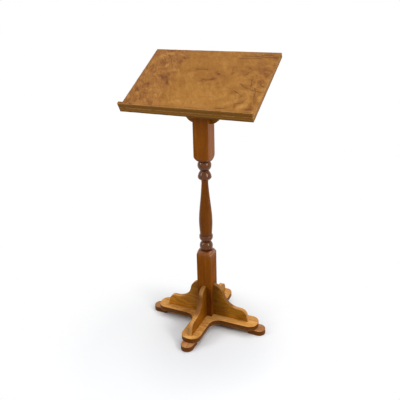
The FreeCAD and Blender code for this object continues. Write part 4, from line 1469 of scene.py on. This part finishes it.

# %% [markdown]
# ## Floor and light
#
# The stand is lit like a catalogue piece, on a floor without an edge.  To the camera and to gloss the floor
# is pale by the foot, where it takes the shadow and a painted shadow darkens its colour towards the foot, and
# plain white farther off.  The light that it bounces stays that of a matt grey floor, so the wood keeps its
# colour.

# %% The floor
FLOOR_SIZE = 30.0
FLOOR_ALBEDO = 0.40
# painted shadow: the floor's colour darkens towards a middle in front of the foot
PAINTED_SHADOW_MIDDLE, PAINTED_SHADOW_REACH = (0.11, -0.18, 0), (0.42, 0.05)
NEAR_PAINTED_SHADOW, FAR_FLOOR_TONE = (0.76, 0.77, 0.79, 1), (0.83, 0.84, 0.85, 1)
WHITE_MIDDLE = (-0.05, -0.25, 0)
WHITE_REACH = (0.32, 0.65)       # metres from there where the floor turns to plain white
WHITE = (1, 1, 1, 1)


def seen_directly(graph):
    """1 for a camera, gloss or transmission ray."""
    rays = [graph.node("ShaderNodeLightPath", out=label)
            for label in ("Is Camera Ray", "Is Glossy Ray", "Is Transmission Ray")]
    return graph.maths("MINIMUM", rays[0] + rays[1] + rays[2], 1.0)


def floor_finish():
    """Matt grey to the light; to the eye pale, with a painted shadow by the foot, turning to plain white."""
    finish = Finish("studio_floor")
    matt = finish.node("ShaderNodeBsdfDiffuse", None, {"Color": (FLOOR_ALBEDO,) * 3 + (1,)})
    place = finish.node("ShaderNodeTexCoord", out="Object")
    from_painted_shadow = finish.vectors("DISTANCE", place, PAINTED_SHADOW_MIDDLE, out="Value")
    from_white = finish.vectors("DISTANCE", place, WHITE_MIDDLE, out="Value")
    # painted shadow by the foot
    shade = finish.mix(from_painted_shadow.rise(*PAINTED_SHADOW_REACH), FAR_FLOOR_TONE, NEAR_PAINTED_SHADOW)
    bright = finish.node("ShaderNodeBsdfDiffuse", None, {"Color": shade})
    glow = finish.node("ShaderNodeEmission", None, {"Color": WHITE, "Strength": 1.0})
    seen = finish.node("ShaderNodeMixShader", None, {0: from_white.rise(*WHITE_REACH), 1: bright, 2: glow})
    both = finish.node("ShaderNodeMixShader", None, {0: seen_directly(finish), 1: matt, 2: seen})
    finish.node("ShaderNodeOutputMaterial", None, {"Surface": both})
    return finish.material


shape = bmesh.new()
bmesh.ops.create_grid(shape, x_segments=1, y_segments=1, size=FLOOR_SIZE / 2)
floor = as_piece("floor", shape)
floor.data.materials.append(floor_finish())
floor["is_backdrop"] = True
print("floor", FLOOR_SIZE, "m wide")

# %% [markdown]
# Two suns as wide as a ceiling give an even light without hard shadows, and two soft boxes stand far
# enough off to draw narrow streaks.  One big lamp would be simpler, but then the turning would look
# flat.  The room is white to the eye and to gloss, and gives only a little light of its own.

# %% The lamps and the room
ROOM_LIGHT = 0.15
SUN_SPREAD = math.radians(50)
BOX_DISTANCE = 3.0
BOX_AIM = Vector((0, 0, 0.6))


def lamp(name, kind, azimuth, elevation, power):
    """A lamp that looks back at the stand from far off; it still has to be placed and sized."""
    made = bpy.data.objects.new(name, bpy.data.lights.new(name, kind))
    bpy.context.scene.collection.objects.link(made)
    made.data.energy = power
    towards = looking_back(math.radians(azimuth), math.radians(elevation))
    made.matrix_world = towards.to_track_quat("Z", "Y").to_matrix().to_4x4()
    return made, towards


def canopy(name, azimuth, elevation, power):
    """A wide, even light from above: a sun as large as a ceiling."""
    made, _ = lamp(name, "SUN", azimuth, elevation, power)
    made.data.angle = SUN_SPREAD


def soft_box(name, azimuth, elevation, power, width, height):
    """An upright lamp beside the stand, for the streaks on the turning."""
    made, towards = lamp(name, "AREA", azimuth, elevation, power)
    made.data.shape = "RECTANGLE"
    made.data.size, made.data.size_y = width, height
    made.matrix_world = Matrix.Translation(BOX_AIM + towards * BOX_DISTANCE) @ made.matrix_world


canopy("ceiling", 150, 74, 1.8)
canopy("left_ceiling", -62, 62, 0.7)
soft_box("right_box", 71, 24, 44, 0.7, 1.1)
soft_box("left_box", -49, 24, 24, 0.5, 1.0)

world = bpy.data.worlds.new("pale_room")
bpy.context.scene.world = world
world.use_nodes = True
room = Graph(world.node_tree)
glow = seen_directly(room) * (1 - ROOM_LIGHT) + ROOM_LIGHT
sky = room.node("ShaderNodeBackground", None, {"Color": WHITE, "Strength": glow})
room.node("ShaderNodeOutputWorld", None, {"Surface": sky})
bpy.context.scene.view_settings.view_transform = "Standard"
print("two canopies, two soft boxes and a room of strength", ROOM_LIGHT)

# %% [markdown]
# Last, the finished piece is measured and its box is printed.

# %% Measure
low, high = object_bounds()
print("visual box", [round(v, 4) for v in (*low, *high)], "pieces", len(finished_pieces))
